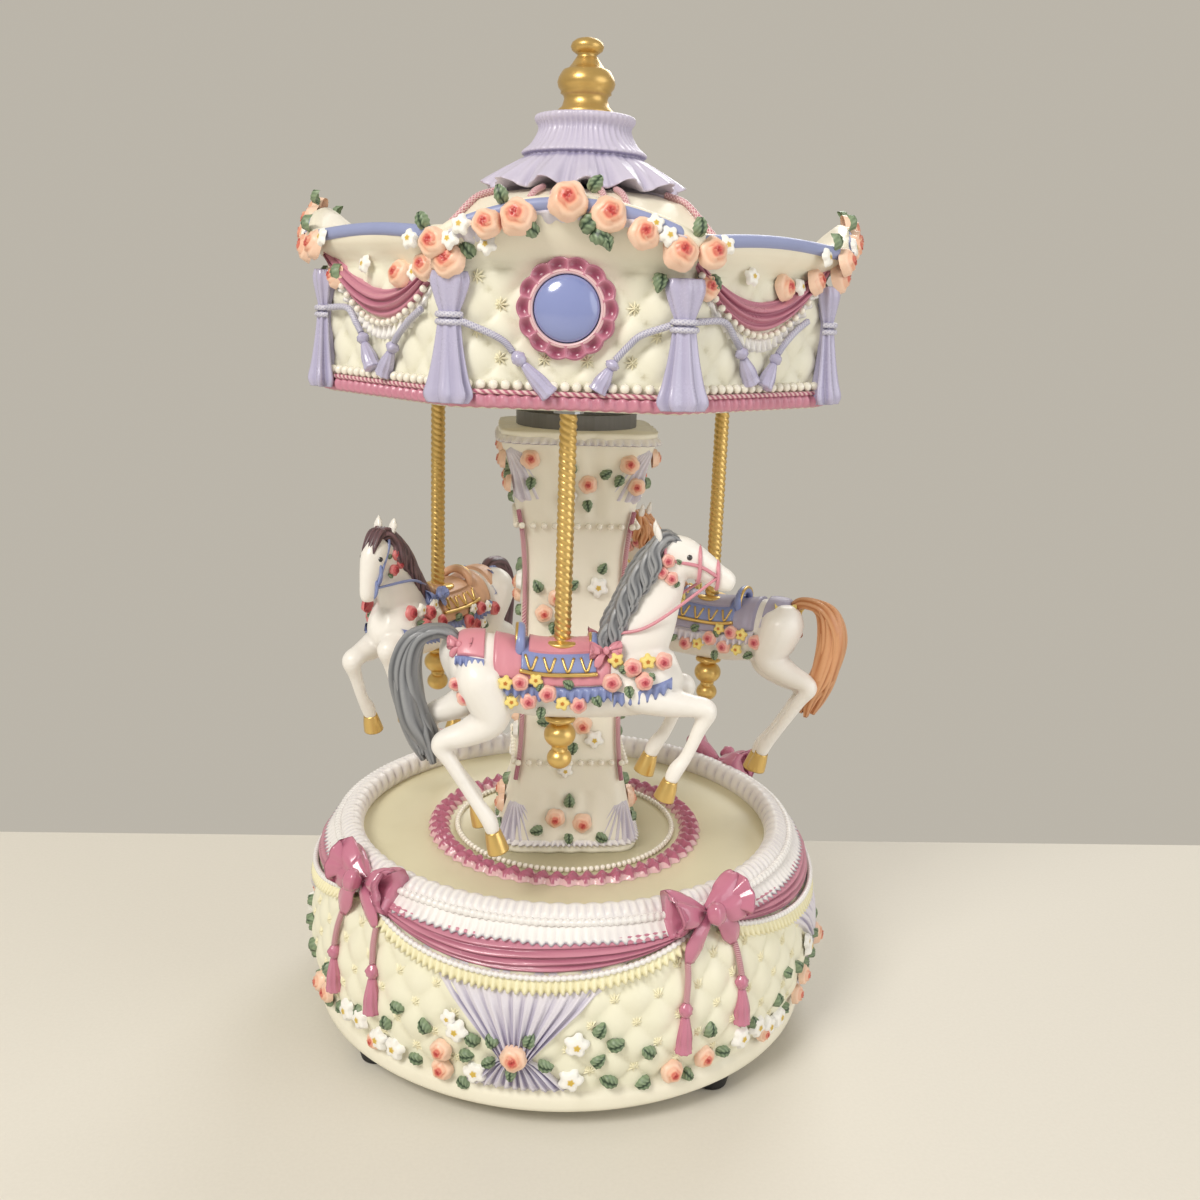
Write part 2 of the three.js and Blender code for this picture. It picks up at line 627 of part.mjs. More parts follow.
function bead(radius, top, blind) {
  const bore = POLE_BORE;
  const centre = top - Math.sqrt(radius * radius - bore * bore);
  const start = Math.acos(bore / radius);
  const profile = [];
  const steps = 6;
  for (let i = 0; i <= steps; i++) {
    const angle = THREE.MathUtils.lerp(blind ? -Math.PI / 2 : -start, start, i / steps);
    profile.push([radius * Math.cos(angle), centre + radius * Math.sin(angle)]);
  }
  if (!blind) return bored(profile, 14);
  profile[0][0] = 0;
  profile.push([bore, centre], [0, centre]);
  return turned(profile, 14);
}

function addHorse({ id, azimuth, heading, drop, neck }) {
  const stand = new THREE.Group();
  const seatZ = CANOPY_Z - SEAT_DROP - drop;
  stand.position.copy(around(azimuth, POLE_CIRCLE, seatZ));
  stand.rotation.z = deg(heading);
  group.add(stand);

  // The lifter's flange rests on the canopy floor at the bottom of the stroke.
  const flange = FLOOR_TOP_Z + GAP + STROKE - drop - seatZ;
  const foot = flange - FLOOR_THICKNESS - STROKE - 2;
  const head = flange + 2.4;
  const bore = (POLE_RADIUS + GAP) / Math.cos(Math.PI / 16);
  const sleeve = bored([
    [bore, foot],
    [LIFTER_RADIUS, foot],
    [LIFTER_RADIUS, flange],
    [LIFTER_FLANGE, flange],
    [LIFTER_FLANGE, head],
    [bore, head],
  ], 16);
  part(`lifter_${id}`, sleeve, STEEL, 0.4, 0.9, stand);

  const smallTop = BEAD_TOP - 2 * Math.sqrt(BEAD_RADIUS ** 2 - POLE_BORE ** 2) - SEAT;
  const smallCentre = smallTop - Math.sqrt(SMALL_BEAD_RADIUS ** 2 - POLE_BORE ** 2);
  const pole = turned([
    [0, smallCentre + SEAT],
    [POLE_RADIUS, smallCentre + SEAT],
    [POLE_RADIUS, head + GAP],
    [4.6, head + GAP],
    [4.6, head + GAP + 2.2],
    [0, head + GAP + 2.2],
  ], POLE_SIDES);
  part(`pole_${id}`, pole, GOLD, 0.3, 1, stand);
  const washer = (bottom, radius) => bored([
    [POLE_BORE, bottom],
    [radius, bottom],
    [radius, bottom + WASHER * 0.4],
    [POLE_BORE, bottom + WASHER],
  ], 14);
  part(`saddle_washer_${id}`, washer(0, 5.6), GOLD, 0.3, 1, stand);
  part(`horse_${id}`, horse(neck), WHITE, 0.4, 0, stand);
  part(`belly_washer_${id}`, washer(BELLY_Z - WASHER - SEAT, 4.4), GOLD, 0.3, 1, stand);
  part(`bead_${id}`, bead(BEAD_RADIUS, BEAD_TOP, false), GOLD, 0.2, 1, stand);
  part(`end_bead_${id}`, bead(SMALL_BEAD_RADIUS, smallTop, true), GOLD, 0.2, 1, stand);
}

addBase();
addColumn();
addCover();
addComb();
addTrain();
addKey();
addCanopy();
HORSES.forEach(addHorse);

export default group;
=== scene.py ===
import math
import random

import bmesh
import bpy
from mathutils import Matrix, Vector


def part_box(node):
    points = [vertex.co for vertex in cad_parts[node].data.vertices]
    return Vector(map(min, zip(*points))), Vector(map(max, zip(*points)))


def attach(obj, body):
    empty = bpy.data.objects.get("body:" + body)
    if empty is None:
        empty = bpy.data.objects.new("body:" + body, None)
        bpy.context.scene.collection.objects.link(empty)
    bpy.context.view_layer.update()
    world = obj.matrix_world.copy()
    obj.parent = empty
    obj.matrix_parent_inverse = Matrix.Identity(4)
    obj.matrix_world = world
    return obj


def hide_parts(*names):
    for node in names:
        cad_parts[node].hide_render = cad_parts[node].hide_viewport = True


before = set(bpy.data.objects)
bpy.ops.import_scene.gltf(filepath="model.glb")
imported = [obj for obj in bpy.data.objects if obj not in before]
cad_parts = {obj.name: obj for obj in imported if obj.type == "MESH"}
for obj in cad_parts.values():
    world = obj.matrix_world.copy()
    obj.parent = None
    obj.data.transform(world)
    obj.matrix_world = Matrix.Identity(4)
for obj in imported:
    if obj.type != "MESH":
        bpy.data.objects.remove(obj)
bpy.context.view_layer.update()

# ---- Camera, floor and light ------------------------------------------------------------------
# The music box stands on a plain pale table in soft studio light, seen from a little above
# its canopy band, close enough for a strong perspective. The table ends a little way behind it.
MM = 0.001
CAMERA_LENS = 36.37
CAMERA_PLACE = (-0.01154, -0.37492, 0.22702)
CAMERA_AIM = (3.16, 13.83, 2.01)      # yaw, pitch and roll in degrees, from a level look along +Y
TABLE_WIDTH = 6.0
TABLE_DEPTH = 3.0
TABLE_BACK_EDGE = 0.112


def aimed(yaw, pitch, roll):
    """Turn of a camera that looks along +Y, then is turned right, down and on its side."""
    level = Matrix.Rotation(math.radians(90), 4, "X")
    down = Matrix.Rotation(math.radians(-pitch), 4, "X")
    turned = Matrix.Rotation(math.radians(-yaw), 4, "Z")
    return turned @ down @ level @ Matrix.Rotation(math.radians(roll), 4, "Z")


camera_data = bpy.data.cameras.new("camera")
camera_data.lens = CAMERA_LENS
camera_data.sensor_width = 36.0
camera_data.clip_start = 0.01
camera = bpy.data.objects.new("camera", camera_data)
camera.matrix_world = Matrix.Translation(CAMERA_PLACE) @ aimed(*CAMERA_AIM)
bpy.context.collection.objects.link(camera)
bpy.context.scene.camera = camera


def area_light(name, place, aim, size, power, colour):
    data = bpy.data.lights.new(name, "AREA")
    data.shape = "DISK"
    data.size = size
    data.energy = power
    data.color = colour
    lamp = bpy.data.objects.new(name, data)
    lamp.location = place
    lamp.rotation_euler = (Vector(aim) - Vector(place)).to_track_quat("-Z", "Y").to_euler()
    bpy.context.collection.objects.link(lamp)


area_light("key_light", (-0.55, -0.75, 0.95), (0, 0, 0.15), 0.45, 9.0, (1.0, 0.97, 0.92))
area_light("fill_light", (0.95, -0.55, 0.45), (0, 0, 0.12), 0.9, 3.6, (0.95, 0.96, 1.0))
area_light("rim_light", (0.35, 0.9, 0.8), (0, 0, 0.2), 0.6, 3.6, (1.0, 1.0, 1.0))

world = bpy.data.worlds.new("studio")
world.use_nodes = True
world.node_tree.nodes["Background"].inputs["Color"].default_value = (0.86, 0.80, 0.69, 1.0)
world.node_tree.nodes["Background"].inputs["Strength"].default_value = 0.58
bpy.context.scene.world = world
bpy.context.scene.view_settings.view_transform = "Standard"


class Wire:
    """A socket of a material's node tree. Arithmetic on it adds Math nodes."""

    def __init__(self, tree, socket=None):
        self.tree = tree
        self.socket = socket

    def node(self, kind, inputs=None, output=0, stops=None, **settings):
        made = self.tree.nodes.new("ShaderNode" + kind)
        for key, value in settings.items():
            setattr(made, key, value)
        if stops:
            ramp = made.color_ramp
            while len(ramp.elements) < len(stops):
                ramp.elements.new(0.5)
            for element, (position, colour) in zip(ramp.elements, stops):
                element.position = position
                element.color = (*colour, 1.0)
        for key, value in (inputs or {}).items():
            if isinstance(value, Wire):
                self.tree.links.new(value.socket, made.inputs[key])
            elif isinstance(value, tuple) and len(value) == 3 and made.inputs[key].type == "RGBA":
                made.inputs[key].default_value = (*value, 1.0)
            else:
                made.inputs[key].default_value = value
        return Wire(self.tree, made.outputs[output])

    def maths(self, operation, first, second=0.0):
        return self.node("Math", {0: first, 1: second}, operation=operation)

    def __add__(self, other):
        return self.maths("ADD", self, other)

    def __sub__(self, other):
        return self.maths("SUBTRACT", self, other)

    def __mul__(self, other):
        return self.maths("MULTIPLY", self, other)

    def __pow__(self, other):
        return self.maths("POWER", self, other)

    __radd__ = __add__
    __rmul__ = __mul__

    def __rsub__(self, other):
        return self.maths("SUBTRACT", other, self)

    def mix(self, low, high):
        """Colour between low and high, with this wire as the factor."""
        return self.node("Mix", {0: self, 6: low, 7: high}, 2, data_type="RGBA")

    def kept(self, low, high):
        """This wire spread from low..high to 0..1 and clamped there."""
        return self.node("MapRange", {"Value": self, "From Min": low, "From Max": high})


def blank_material(name):
    material = bpy.data.materials.new(name)
    material.use_nodes = True
    shader = material.node_tree.nodes["Principled BSDF"]
    return material, shader, Wire(material.node_tree)


def joined(wire, shader, socket):
    wire.tree.links.new(wire.socket, shader.inputs[socket])


table_top, table_shader, start = blank_material("pale_table")
place = start.node("TexCoord", output=3)
grain = start.node("TexNoise", {"Vector": place, "Scale": 900.0, "Detail": 2.0})
joined(grain.mix((0.72, 0.69, 0.62), (0.77, 0.74, 0.67)), table_shader, "Base Color")
table_shader.inputs["Roughness"].default_value = 0.6

bpy.ops.mesh.primitive_grid_add(x_subdivisions=1, y_subdivisions=1, size=1.0)
floor = bpy.context.object
table_middle = Matrix.Translation((0, TABLE_BACK_EDGE - TABLE_DEPTH / 2, 0))
floor.data.transform(table_middle @ Matrix.Diagonal((TABLE_WIDTH, TABLE_DEPTH, 1, 1)))
floor.name = "table"
floor.data.materials.append(table_top)


# ---- Base casting -----------------------------------------------------------------------------
# The base is one hollow casting of painted resin: a smooth plinth, a quilted skirt with a star
# tuft at every crossing, and a flat platform. Its underside is open for the movement's cover.
FOOT_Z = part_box("foot_1")[1].z / MM
PLATFORM_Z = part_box("base_shell")[1].z / MM
QUILTS_ROUND = 40
QUILT_HEIGHT = 14.0
QUILT_PUFF = 1.4
SKIRT_OUTLINE = [(6, 79.2), (7.2, 80.5), (11.5, 80.6), (13.4, 79.4), (18, 80.6), (26, 82), (38, 81.4),
                 (46, 79.8), (52, 77.8), (57.5, 74.4)]


def tint(code):
    """A paint colour from its six-digit code, as linear light."""
    parts = [int(code[i:i + 2], 16) / 255 for i in (0, 2, 4)]
    return tuple(p / 12.92 if p < 0.04045 else ((p + 0.055) / 1.055) ** 2.4 for p in parts)


def eased(outline, x):
    """Height of a smooth outline, given as (x, height) points, at x."""
    k = 0
    while k < len(outline) - 2 and x > outline[k + 1][0]:
        k += 1
    (x0, y0), (x1, y1) = outline[k], outline[k + 1]
    before = outline[k - 1] if k else outline[k]
    after = outline[k + 2] if k + 2 < len(outline) else outline[k + 1]
    u = min(max((x - x0) / (x1 - x0), 0.0), 1.0)
    rise0 = (y1 - before[1]) / (x1 - before[0]) * (x1 - x0)
    rise1 = (after[1] - y0) / (after[0] - x0) * (x1 - x0)
    lift = (2 * u ** 3 - 3 * u ** 2 + 1) * y0 + (3 * u ** 2 - 2 * u ** 3) * y1
    return lift + (u ** 3 - 2 * u ** 2 + u) * rise0 + (u ** 3 - u ** 2) * rise1


def skirt(z):
    return eased(SKIRT_OUTLINE, z)


def at(azimuth, radius, z):
    """Point at an azimuth in degrees, from the front towards +X."""
    turn = math.radians(azimuth)
    return Vector((radius * math.sin(turn), -radius * math.cos(turn), z))


def azimuth_of(point):
    return math.degrees(math.atan2(point.x, -point.y))


def blank():
    """An empty mesh in millimetres, with a paint tone on each of its points."""
    bm = bmesh.new()
    bm.verts.layers.float.new("tone")
    return bm


def finished(bm, name, material, body, replaces=(), weld=0.004):
    """The piece that a mesh in millimetres becomes, riding on its body."""
    bmesh.ops.remove_doubles(bm, verts=bm.verts, dist=weld)
    bmesh.ops.dissolve_degenerate(bm, edges=bm.edges, dist=weld)
    bmesh.ops.recalc_face_normals(bm, faces=bm.faces)
    bmesh.ops.scale(bm, vec=(MM, MM, MM), verts=bm.verts)
    for face in bm.faces:
        face.smooth = True
    mesh = bpy.data.meshes.new(name)
    bm.to_mesh(mesh)
    bm.free()
    mesh.materials.append(material)
    piece = bpy.data.objects.new(name, mesh)
    bpy.context.collection.objects.link(piece)
    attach(piece, body)
    if replaces:
        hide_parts(*replaces)
    return piece


def resin(name, colour, crease, roughness=0.42, reach=1.6, crease_shade_power=1.3, coat=0.0, metal=0.0, stops=None,
          grain=0.12, ground=None):
    """Painted cast resin: painted shade darkens it towards the crease colour in the creases that the
    occlusion finds within reach, and the coat is a little uneven. stops paint it by the tone of its points,
    and ground by another wire's colours."""
    material, shader, start = blank_material(name)
    place = start.node("TexCoord", output=3)
    cloud = start.node("TexNoise", {"Vector": place, "Scale": 90.0, "Detail": 3.0})
    fleck = start.node("TexNoise", {"Vector": place, "Scale": 1400.0, "Detail": 2.0})
    # The occlusion node finds creases within reach; the colour is darkened there as painted shade.
    light = start.node("AmbientOcclusion", {"Distance": reach * MM}, 1, samples=6, only_local=True)
    paint = colour
    if stops:
        tone = start.node("Attribute", output=2, attribute_name="tone")
        paint = tone.node("ValToRGB", {0: tone}, stops=stops)
    if ground:
        paint = ground(place)
    # Painted shade from the occlusion, times the coat's own uneven mottle.
    mottle_and_crease_shade = (light ** crease_shade_power) * (cloud * 0.34 + 0.83)
    joined(mottle_and_crease_shade.mix(crease, paint), shader, "Base Color")
    joined(cloud * 0.2 + fleck * 0.14 + (roughness - 0.17), shader, "Roughness")
    bump = fleck.node("Bump", {"Height": fleck * 0.5 + cloud, "Strength": grain, "Distance": 0.0004})
    joined(bump, shader, "Normal")
    shader.inputs["Metallic"].default_value = metal
    shader.inputs["Coat Weight"].default_value = coat
    shader.inputs["Coat Roughness"].default_value = 0.12
    return material


def base_ground(place):
    """Cream on the plinth, pale yellow-green on the quilting and olive cream on the platform."""
    height = place.node("SeparateXYZ", {0: place}, 2)
    quilted = height.kept(0.0125, 0.0150).mix(tint("F5F1DF"), tint("F2F0DA"))
    deck = height.kept(0.0570, 0.0576)
    return deck.mix(quilted, tint("DDD5B2"))


cream_paint = resin("cream_paint", None, tint("B8AC7A"), 0.4, reach=2.4, crease_shade_power=1.2, coat=0.1,
                    ground=base_ground)


def base_casting():
    bm = blank()
    rows = 46
    top = [(SKIRT_OUTLINE[-1][1] - 7.4, PLATFORM_Z), (2.3, PLATFORM_Z), (2.3, 52.5), (66, 52.5)]
    inside = [(72, 46), (77, 30), (75, 18), (60, 18), (60, 15), (64, 15), (64, 6)]
    outline = [(skirt(z), z) for z in (FOOT_Z + i * (PLATFORM_Z - FOOT_Z) / rows for i in range(rows + 1))]
    verts = [bm.verts.new((radius, 0, z)) for radius, z in outline + top + inside]
    edges = [bm.edges.new(pair) for pair in zip(verts, verts[1:] + verts[:1])]
    bmesh.ops.spin(bm, geom=verts + edges, axis=(0, 0, 1), cent=(0, 0, 0), steps=480,
                   angle=2 * math.pi, use_merge=True)
    for vert in bm.verts:
        radius = vert.co.xy.length
        if 13.5 < vert.co.z < 54 and radius > skirt(vert.co.z) - 0.3:
            across = azimuth_of(vert.co) * QUILTS_ROUND / 360
            up = (vert.co.z - 13.5) / QUILT_HEIGHT
            puff = abs(math.sin(math.pi * (across + up)) * math.sin(math.pi * (across - up))) ** 0.55
            vert.co.xy *= 1 + QUILT_PUFF * (puff - 0.4) / radius
    return finished(bm, "base_casting", cream_paint, "base", ["base_shell"])


base_casting()


def wrap(bm, columns, rows, shape):
    """A sheet of columns by rows faces. shape(s, t) gives each corner's place, and its paint tone
    as a fourth number, with s and t from 0 to 1."""
    tone = bm.verts.layers.float["tone"]
    made = bmesh.ops.create_grid(bm, x_segments=columns, y_segments=rows, size=0.5)["verts"]
    for vert in made:
        spot = shape(vert.co.x + 0.5, vert.co.y + 0.5)
        vert.co = spot.xyz
        vert[tone] = spot.w if len(spot) == 4 else 1.0
    return made


def model(build):
    """A shape that is stamped many times, as a mesh in millimetres."""
    bm = blank()
    build(bm)
    bmesh.ops.remove_doubles(bm, verts=bm.verts, dist=0.004)
    bmesh.ops.recalc_face_normals(bm, faces=bm.faces)
    mesh = bpy.data.meshes.new(build.__name__)
    bm.to_mesh(mesh)
    bm.free()
    return mesh


def stamp(bm, shape, place, facing, size=1.0, turn=0.0):
    """A copy of shape, its Z along facing, turned about that by turn degrees."""
    copy = shape.copy()
    lean = Vector(facing).to_track_quat("Z", "Y").to_matrix().to_4x4()
    spin = Matrix.Rotation(math.radians(turn), 4, "Z")
    copy.transform(Matrix.Translation(place) @ lean @ spin @ Matrix.Scale(size, 4))
    bm.from_mesh(copy)
    bpy.data.meshes.remove(copy)


def star_tuft(bm):
    def shape(s, t):
        reach = 0.5 + 1.7 * abs(math.cos(4 * 2 * math.pi * s)) ** 2
        angle = 2 * math.pi * s
        return Vector((reach * t * math.cos(angle), reach * t * math.sin(angle),
                       1.0 * (1 - t) ** 1.1 - 0.1))
    wrap(bm, 32, 3, shape)


def tufts():
    bm = blank()
    star = model(star_tuft)
    for row in range(1, 6):
        z = 13.5 + row * QUILT_HEIGHT / 2
        for k in range(QUILTS_ROUND):
            azimuth = (k + (row % 2) / 2) * 360 / QUILTS_ROUND
            stamp(bm, star, at(azimuth, skirt(z) - 0.5, z), at(azimuth, 1, 0), 1.3)
    return finished(bm, "base_tufts", tuft_paint, "base")


tuft_paint = resin("tuft_paint", tint("F8F3D6"), tint("DCD2A6"), 0.4, reach=0.8, crease_shade_power=0.8)
tufts()

# ---- Rubber feet ------------------------------------------------------------------------------
# Four black rubber feet, tapered towards the table, are screwed into the plinth's lower edge.
RUBBER_PITS = 700.0


def rubber():
    material, shader, start = blank_material("black_rubber")
    place = start.node("TexCoord", output=3)
    pits = start.node("TexNoise", {"Vector": place, "Scale": RUBBER_PITS, "Detail": 3.0})
    joined(pits.mix(tint("0C0C0D"), tint("2B2B2D")), shader, "Base Color")
    joined(pits * 0.3 + 0.5, shader, "Roughness")
    bump = pits.node("Bump", {"Height": pits, "Strength": 0.4, "Distance": 0.0003})
    joined(bump, shader, "Normal")
    return material


def turning(name, outline, centre, material, body, replaces=(), steps=48):
    """A turned piece about an upright axis, from (radius, z) points."""
    bm = blank()
    verts = [bm.verts.new((centre[0] + radius, centre[1], z)) for radius, z in outline]
    edges = [bm.edges.new(pair) for pair in zip(verts, verts[1:])]
    bmesh.ops.spin(bm, geom=verts + edges, axis=(0, 0, 1), cent=(centre[0], centre[1], 0), steps=steps,
                   angle=2 * math.pi, use_merge=True)
    return finished(bm, name, material, body, replaces, weld=0.01)


def centre_of(node):
    low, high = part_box(node)
    return (low + high) / (2 * MM)


foot_rubber = rubber()
for index in range(1, 5):
    foot_outline = [(0, 0.02), (4.3, 0.02), (4.8, 0.3), (5.0, 0.9), (5.9, 4.9), (5.9, FOOT_Z), (0, FOOT_Z)]
    turning(f"rubber_foot_{index}", foot_outline, centre_of(f"foot_{index}"), foot_rubber, "base",
            [f"foot_{index}"])

# ---- Frills round the platform ----------------------------------------------------------------
# A gathered white header stands round the platform, shell lumps inside and fine pleats outside,
# a silvery braid covers its stitching, and a second pleated frill hangs below. All cast and painted.
HEADER_OUTLINE = [(0.0, 66.6), (0.2, 66.1), (0.42, 67.2), (0.55, 69.0), (0.75, 71.8), (1.0, 73.6)]
HEADER_RISE = [(0.0, 57.5), (0.2, 60.6), (0.42, 63.8), (0.55, 64.4), (0.75, 63.1), (1.0, 61.2)]
HEADER_LUMPS = 90
LOWER_PLEATS = 190
BRAID_BEADS = 230


def header_frill():
    bm = blank()

    def shape(s, t):
        inner = abs(math.sin(math.pi * HEADER_LUMPS * (s + 0.004 * t))) ** 0.6
        outer = abs(math.sin(2 * math.pi * HEADER_LUMPS * (s + 0.0012 * t))) ** 0.8
        radius = eased(HEADER_OUTLINE, t)
        z = eased(HEADER_RISE, t)
        full = math.sin(math.pi * min(t * 1.15, 1.0)) ** 0.5
        if t < 0.5:
            radius -= 1.5 * inner * full * (1 - t) - 0.6
            z += 1.2 * (inner - 0.6) * full * t
        else:
            radius += 1.0 * outer * full
            z += 0.5 * outer * full - 0.2 * (1 - inner)
        return at(360 * s, radius, z)

    wrap(bm, HEADER_LUMPS * 10, 14, shape)
    return finished(bm, "header_frill", frill_paint, "base", ["rim_frill"])


def lower_frill():
    bm = blank()

    def shape(s, t):
        fold = 0.5 + 0.5 * math.cos(2 * math.pi * LOWER_PLEATS * s)
        radius = 73.4 + 4.0 * t + 1.1 * fold * t ** 0.7
        return at(360 * s, radius, 61.2 - 3.9 * t - 0.4 * fold * t + 0.3 * math.sin(40 * s * math.pi))

    def back(s, t):
        return at(360 * s, 72.4 + 4.2 * t, 60.0 - 2.9 * t)

    wrap(bm, LOWER_PLEATS * 5, 5, shape)
    wrap(bm, LOWER_PLEATS * 5, 1, lambda s, t: shape(s, 1).lerp(back(s, 1), t))
    return finished(bm, "lower_frill", frill_paint, "base")


def platform_braid():
    bm = blank()

    def shape(s, t):
        angle = 2 * math.pi * t
        bead = 0.75 + 0.55 * abs(math.sin(math.pi * BRAID_BEADS * (s + 0.0006 * math.cos(angle))))
        return at(360 * s, 73.8 + bead * math.cos(angle), 61.5 + bead * math.sin(angle))

    wrap(bm, BRAID_BEADS * 4, 8, shape)
    return finished(bm, "platform_braid", trim_paint, "base")


frill_paint = resin("frill_paint", tint("F3F0EE"), tint("8E85AC"), 0.36, reach=2.2, crease_shade_power=2.2)
trim_paint = resin("trim_paint", tint("F4F2F0"), tint("A8A4B8"), 0.25, reach=0.9, crease_shade_power=1.2, coat=0.4)
header_frill()
lower_frill()
platform_braid()

# ---- Swags, curtains and their trims ----------------------------------------------------------
# Between bows hangs a magenta swag in long folds, edged with a looped trim and a pale-yellow
# frill. Under it a lavender curtain is drawn together near the floor and flares out again.
BOW_HALF = 40.0                       # front and back bows, from the swags' middles at FRONT
FRONT = -10.0
SWAGS = [(FRONT, BOW_HALF - 3), (FRONT + 90, 47.0), (FRONT + 180, BOW_HALF - 3), (FRONT + 270, 47.0)]
TIE_Z = 24.0


def swag_top(x):
    return 58.0 + 0.6 * x * x


def swag_bottom(x):
    return 49.2 + 8.0 * abs(x) ** 2.2


def swag(bm, middle, half):
    def shape(s, t):
        x = 2 * s - 1
        slim = 1 - 0.75 * x * x
        z = swag_top(x) + (swag_bottom(x) - swag_top(x)) * t
        fold = math.cos(2 * math.pi * (4.3 * t + 0.22 * math.sin(5 * x) + 0.15 * x))
        fine = math.cos(2 * math.pi * (10.5 * t + 0.5 * math.sin(3.1 * x + 1)))
        belly = math.sin(math.pi * min(t, 0.97)) ** 0.6
        lift = (1.5 + 0.75 * fold * slim + 0.16 * fine) * belly + 0.5
        if t in (0.0, 1.0):
            lift = -1.2
        return at(middle + half * x, skirt(z) + lift + 0.25 * max(z - 52, 0), z)
    wrap(bm, 110, 40, shape)


def frill_strip(bm, columns, rows, pleats, edge, drop, lift, wave):
    """A pleated strip hung from edge(x), an (azimuth, z) line, drop(x) deep."""
    def shape(s, t):
        x = 2 * s - 1
        azimuth, z = edge(x)
        fold = math.cos(2 * math.pi * pleats * s + 0.8 * math.sin(31 * s))
        z -= drop(x) * t + 0.35 * fold * t * wave
        if t == 1.0:
            return at(azimuth, skirt(z + 0.6) - 0.4, z + 0.6)
        return at(azimuth, skirt(z) + lift + wave * (0.6 + fold) * t ** 0.8 * 0.7, z)
    wrap(bm, columns, rows, shape)


def smooth_line(points, count):
    """count + 1 points of a smooth line through the given ones, whatever numbers they carry."""
    points = [Vector(point) for point in points]
    ends = [2 * points[0] - points[1], *points, 2 * points[-1] - points[-2]]
    line = []
    for i in range(count + 1):
        place = i / count * (len(points) - 1)
        k = min(int(place), len(points) - 2)
        u = place - k
        a, b, c, d = ends[k:k + 4]
        bend = (2 * a - 5 * b + 4 * c - d) * u * u + (3 * b - a - 3 * c + d) * u ** 3
        line.append(0.5 * (2 * b + (c - a) * u + bend))
    return line


def rod(bm, points, count, sides=8, section=None, flat=1.0, side=None, tone=None):
    """A bar through points (x, y, z, radius), closed at both ends. section(angle, t) scales its
    radius, flat its second width, side fixes where angle 0 faces, and tone(angle, t) paints it."""
    line = smooth_line(points, count)
    across = Vector(side or (0.31, 0.23, 0.92))
    frames = []
    for i, spot in enumerate(line):
        ahead = (line[min(i + 1, count)].xyz - line[max(i - 1, 0)].xyz).normalized()
        across = Vector(side) if side else across
        across = (across - ahead * across.dot(ahead)).normalized()
        frames.append((spot.xyz, across, ahead.cross(across), max(spot.w, 0.02)))

    def shape(s, t):
        row = round(t * (count + 2)) - 1
        place = min(max(row, 0), count)
        middle, first, second, radius = frames[place]
        angle = 2 * math.pi * s
        if row != place:
            radius = 0.0
        if section:
            radius *= section(angle, place / count)
        spot = middle + first * radius * math.cos(angle) + second * radius * flat * math.sin(angle)
        return Vector((*spot, tone(angle, place / count) if tone else 1.0))

    return wrap(bm, sides, count + 2, shape)


def beaded(bm, path, radius, pitch):
    """A row of touching beads or loops along a path, as one cast strip."""
    length = sum((b - a).length for a, b in zip(path, path[1:]))
    beads = max(2, round(length / pitch))
    rod(bm, [(*point, radius) for point in path], beads * 4, 7,
        lambda angle, t: 0.62 + 0.5 * abs(math.sin(math.pi * beads * t)))


def curtain(bm, middle, half):
    wide = 30.0 * half / 37.0

    def shape(s, t):
        x = 2 * s - 1
        z = 52.5 - 39.2 * t
        if z > TIE_Z:
            width = 4.2 + wide * ((z - TIE_Z) / 29.5) ** 1.15
            depth = 1.25
        else:
            width = 4.2 + 11.5 * ((TIE_Z - z) / 10.7) ** 0.8
            depth = 0.9 + 1.1 * (TIE_Z - z) / 10.7
        fold = math.cos(2 * math.pi * (5.5 * x + 0.15 * math.sin(7 * x)))
        fine = math.cos(2 * math.pi * 13 * x + 2.0 * z * 0.1)
        crown = (1 - x ** 6) * 1.3
        lift = (crown + (0.5 + 0.5 * fold) * depth + 0.22 * fine) * min(1.0, max(0.0, 50.5 - z) / 10)
        if abs(x) > 0.999 or t == 1.0:
            lift = -1.0
        hem = 0.6 * fold * max(0.0, (16 - z) / 3)
        azimuth = middle + math.degrees(x * width / 81)
        return at(azimuth, skirt(z) + lift, z + hem)
    wrap(bm, 132, 40, shape)


magenta_paint = resin("magenta_paint", tint("CE8A9E"), tint("8E4562"), 0.3, reach=1.8, crease_shade_power=1.0, coat=0.35,
                      grain=0.08)
yellow_paint = resin("yellow_paint", tint("F8F3D0"), tint("CBBF85"), 0.4, reach=1.6, crease_shade_power=1.3)
lavender_paint = resin("lavender_paint", tint("E2DEE8"), tint("8E86AC"), 0.36, reach=1.5, crease_shade_power=1.5,
                       coat=0.1)
swags, hems, trims, curtains = blank(), blank(), blank(), blank()
for middle, half in SWAGS:
    swag(swags, middle, half)

    def lower_edge(x, middle=middle, half=half):
        return middle + half * x, swag_bottom(x)

    pleats = round(half * 1.35)
    frill_strip(hems, pleats * 6, 5, pleats, lower_edge, lambda x: 5.8 - 2.2 * abs(x) ** 3, 1.9, 1.0)
    path = [at(azimuth, skirt(z) + 2.6, z - 0.4) for azimuth,
            z in (lower_edge(i / 12 - 1) for i in range(25))]
    beaded(trims, path, 0.85, 1.7)
    curtain(curtains, middle, half)
finished(swags, "swags", magenta_paint, "base")
finished(hems, "swag_hems", yellow_paint, "base")
finished(trims, "swag_trims", trim_paint, "base")
finished(curtains, "curtains", lavender_paint, "base")

# ---- Bows, cords and tassels of the base ------------------------------------------------------
# Glossy magenta bows sit on the rim over the swags' ends: two crumpled loops, a knot and two
# ribbon tails, from which pink and cream twisted cords hang down to knotted magenta tassels.
BOWS = [FRONT + 40, FRONT + 140, FRONT + 220, FRONT + 320]


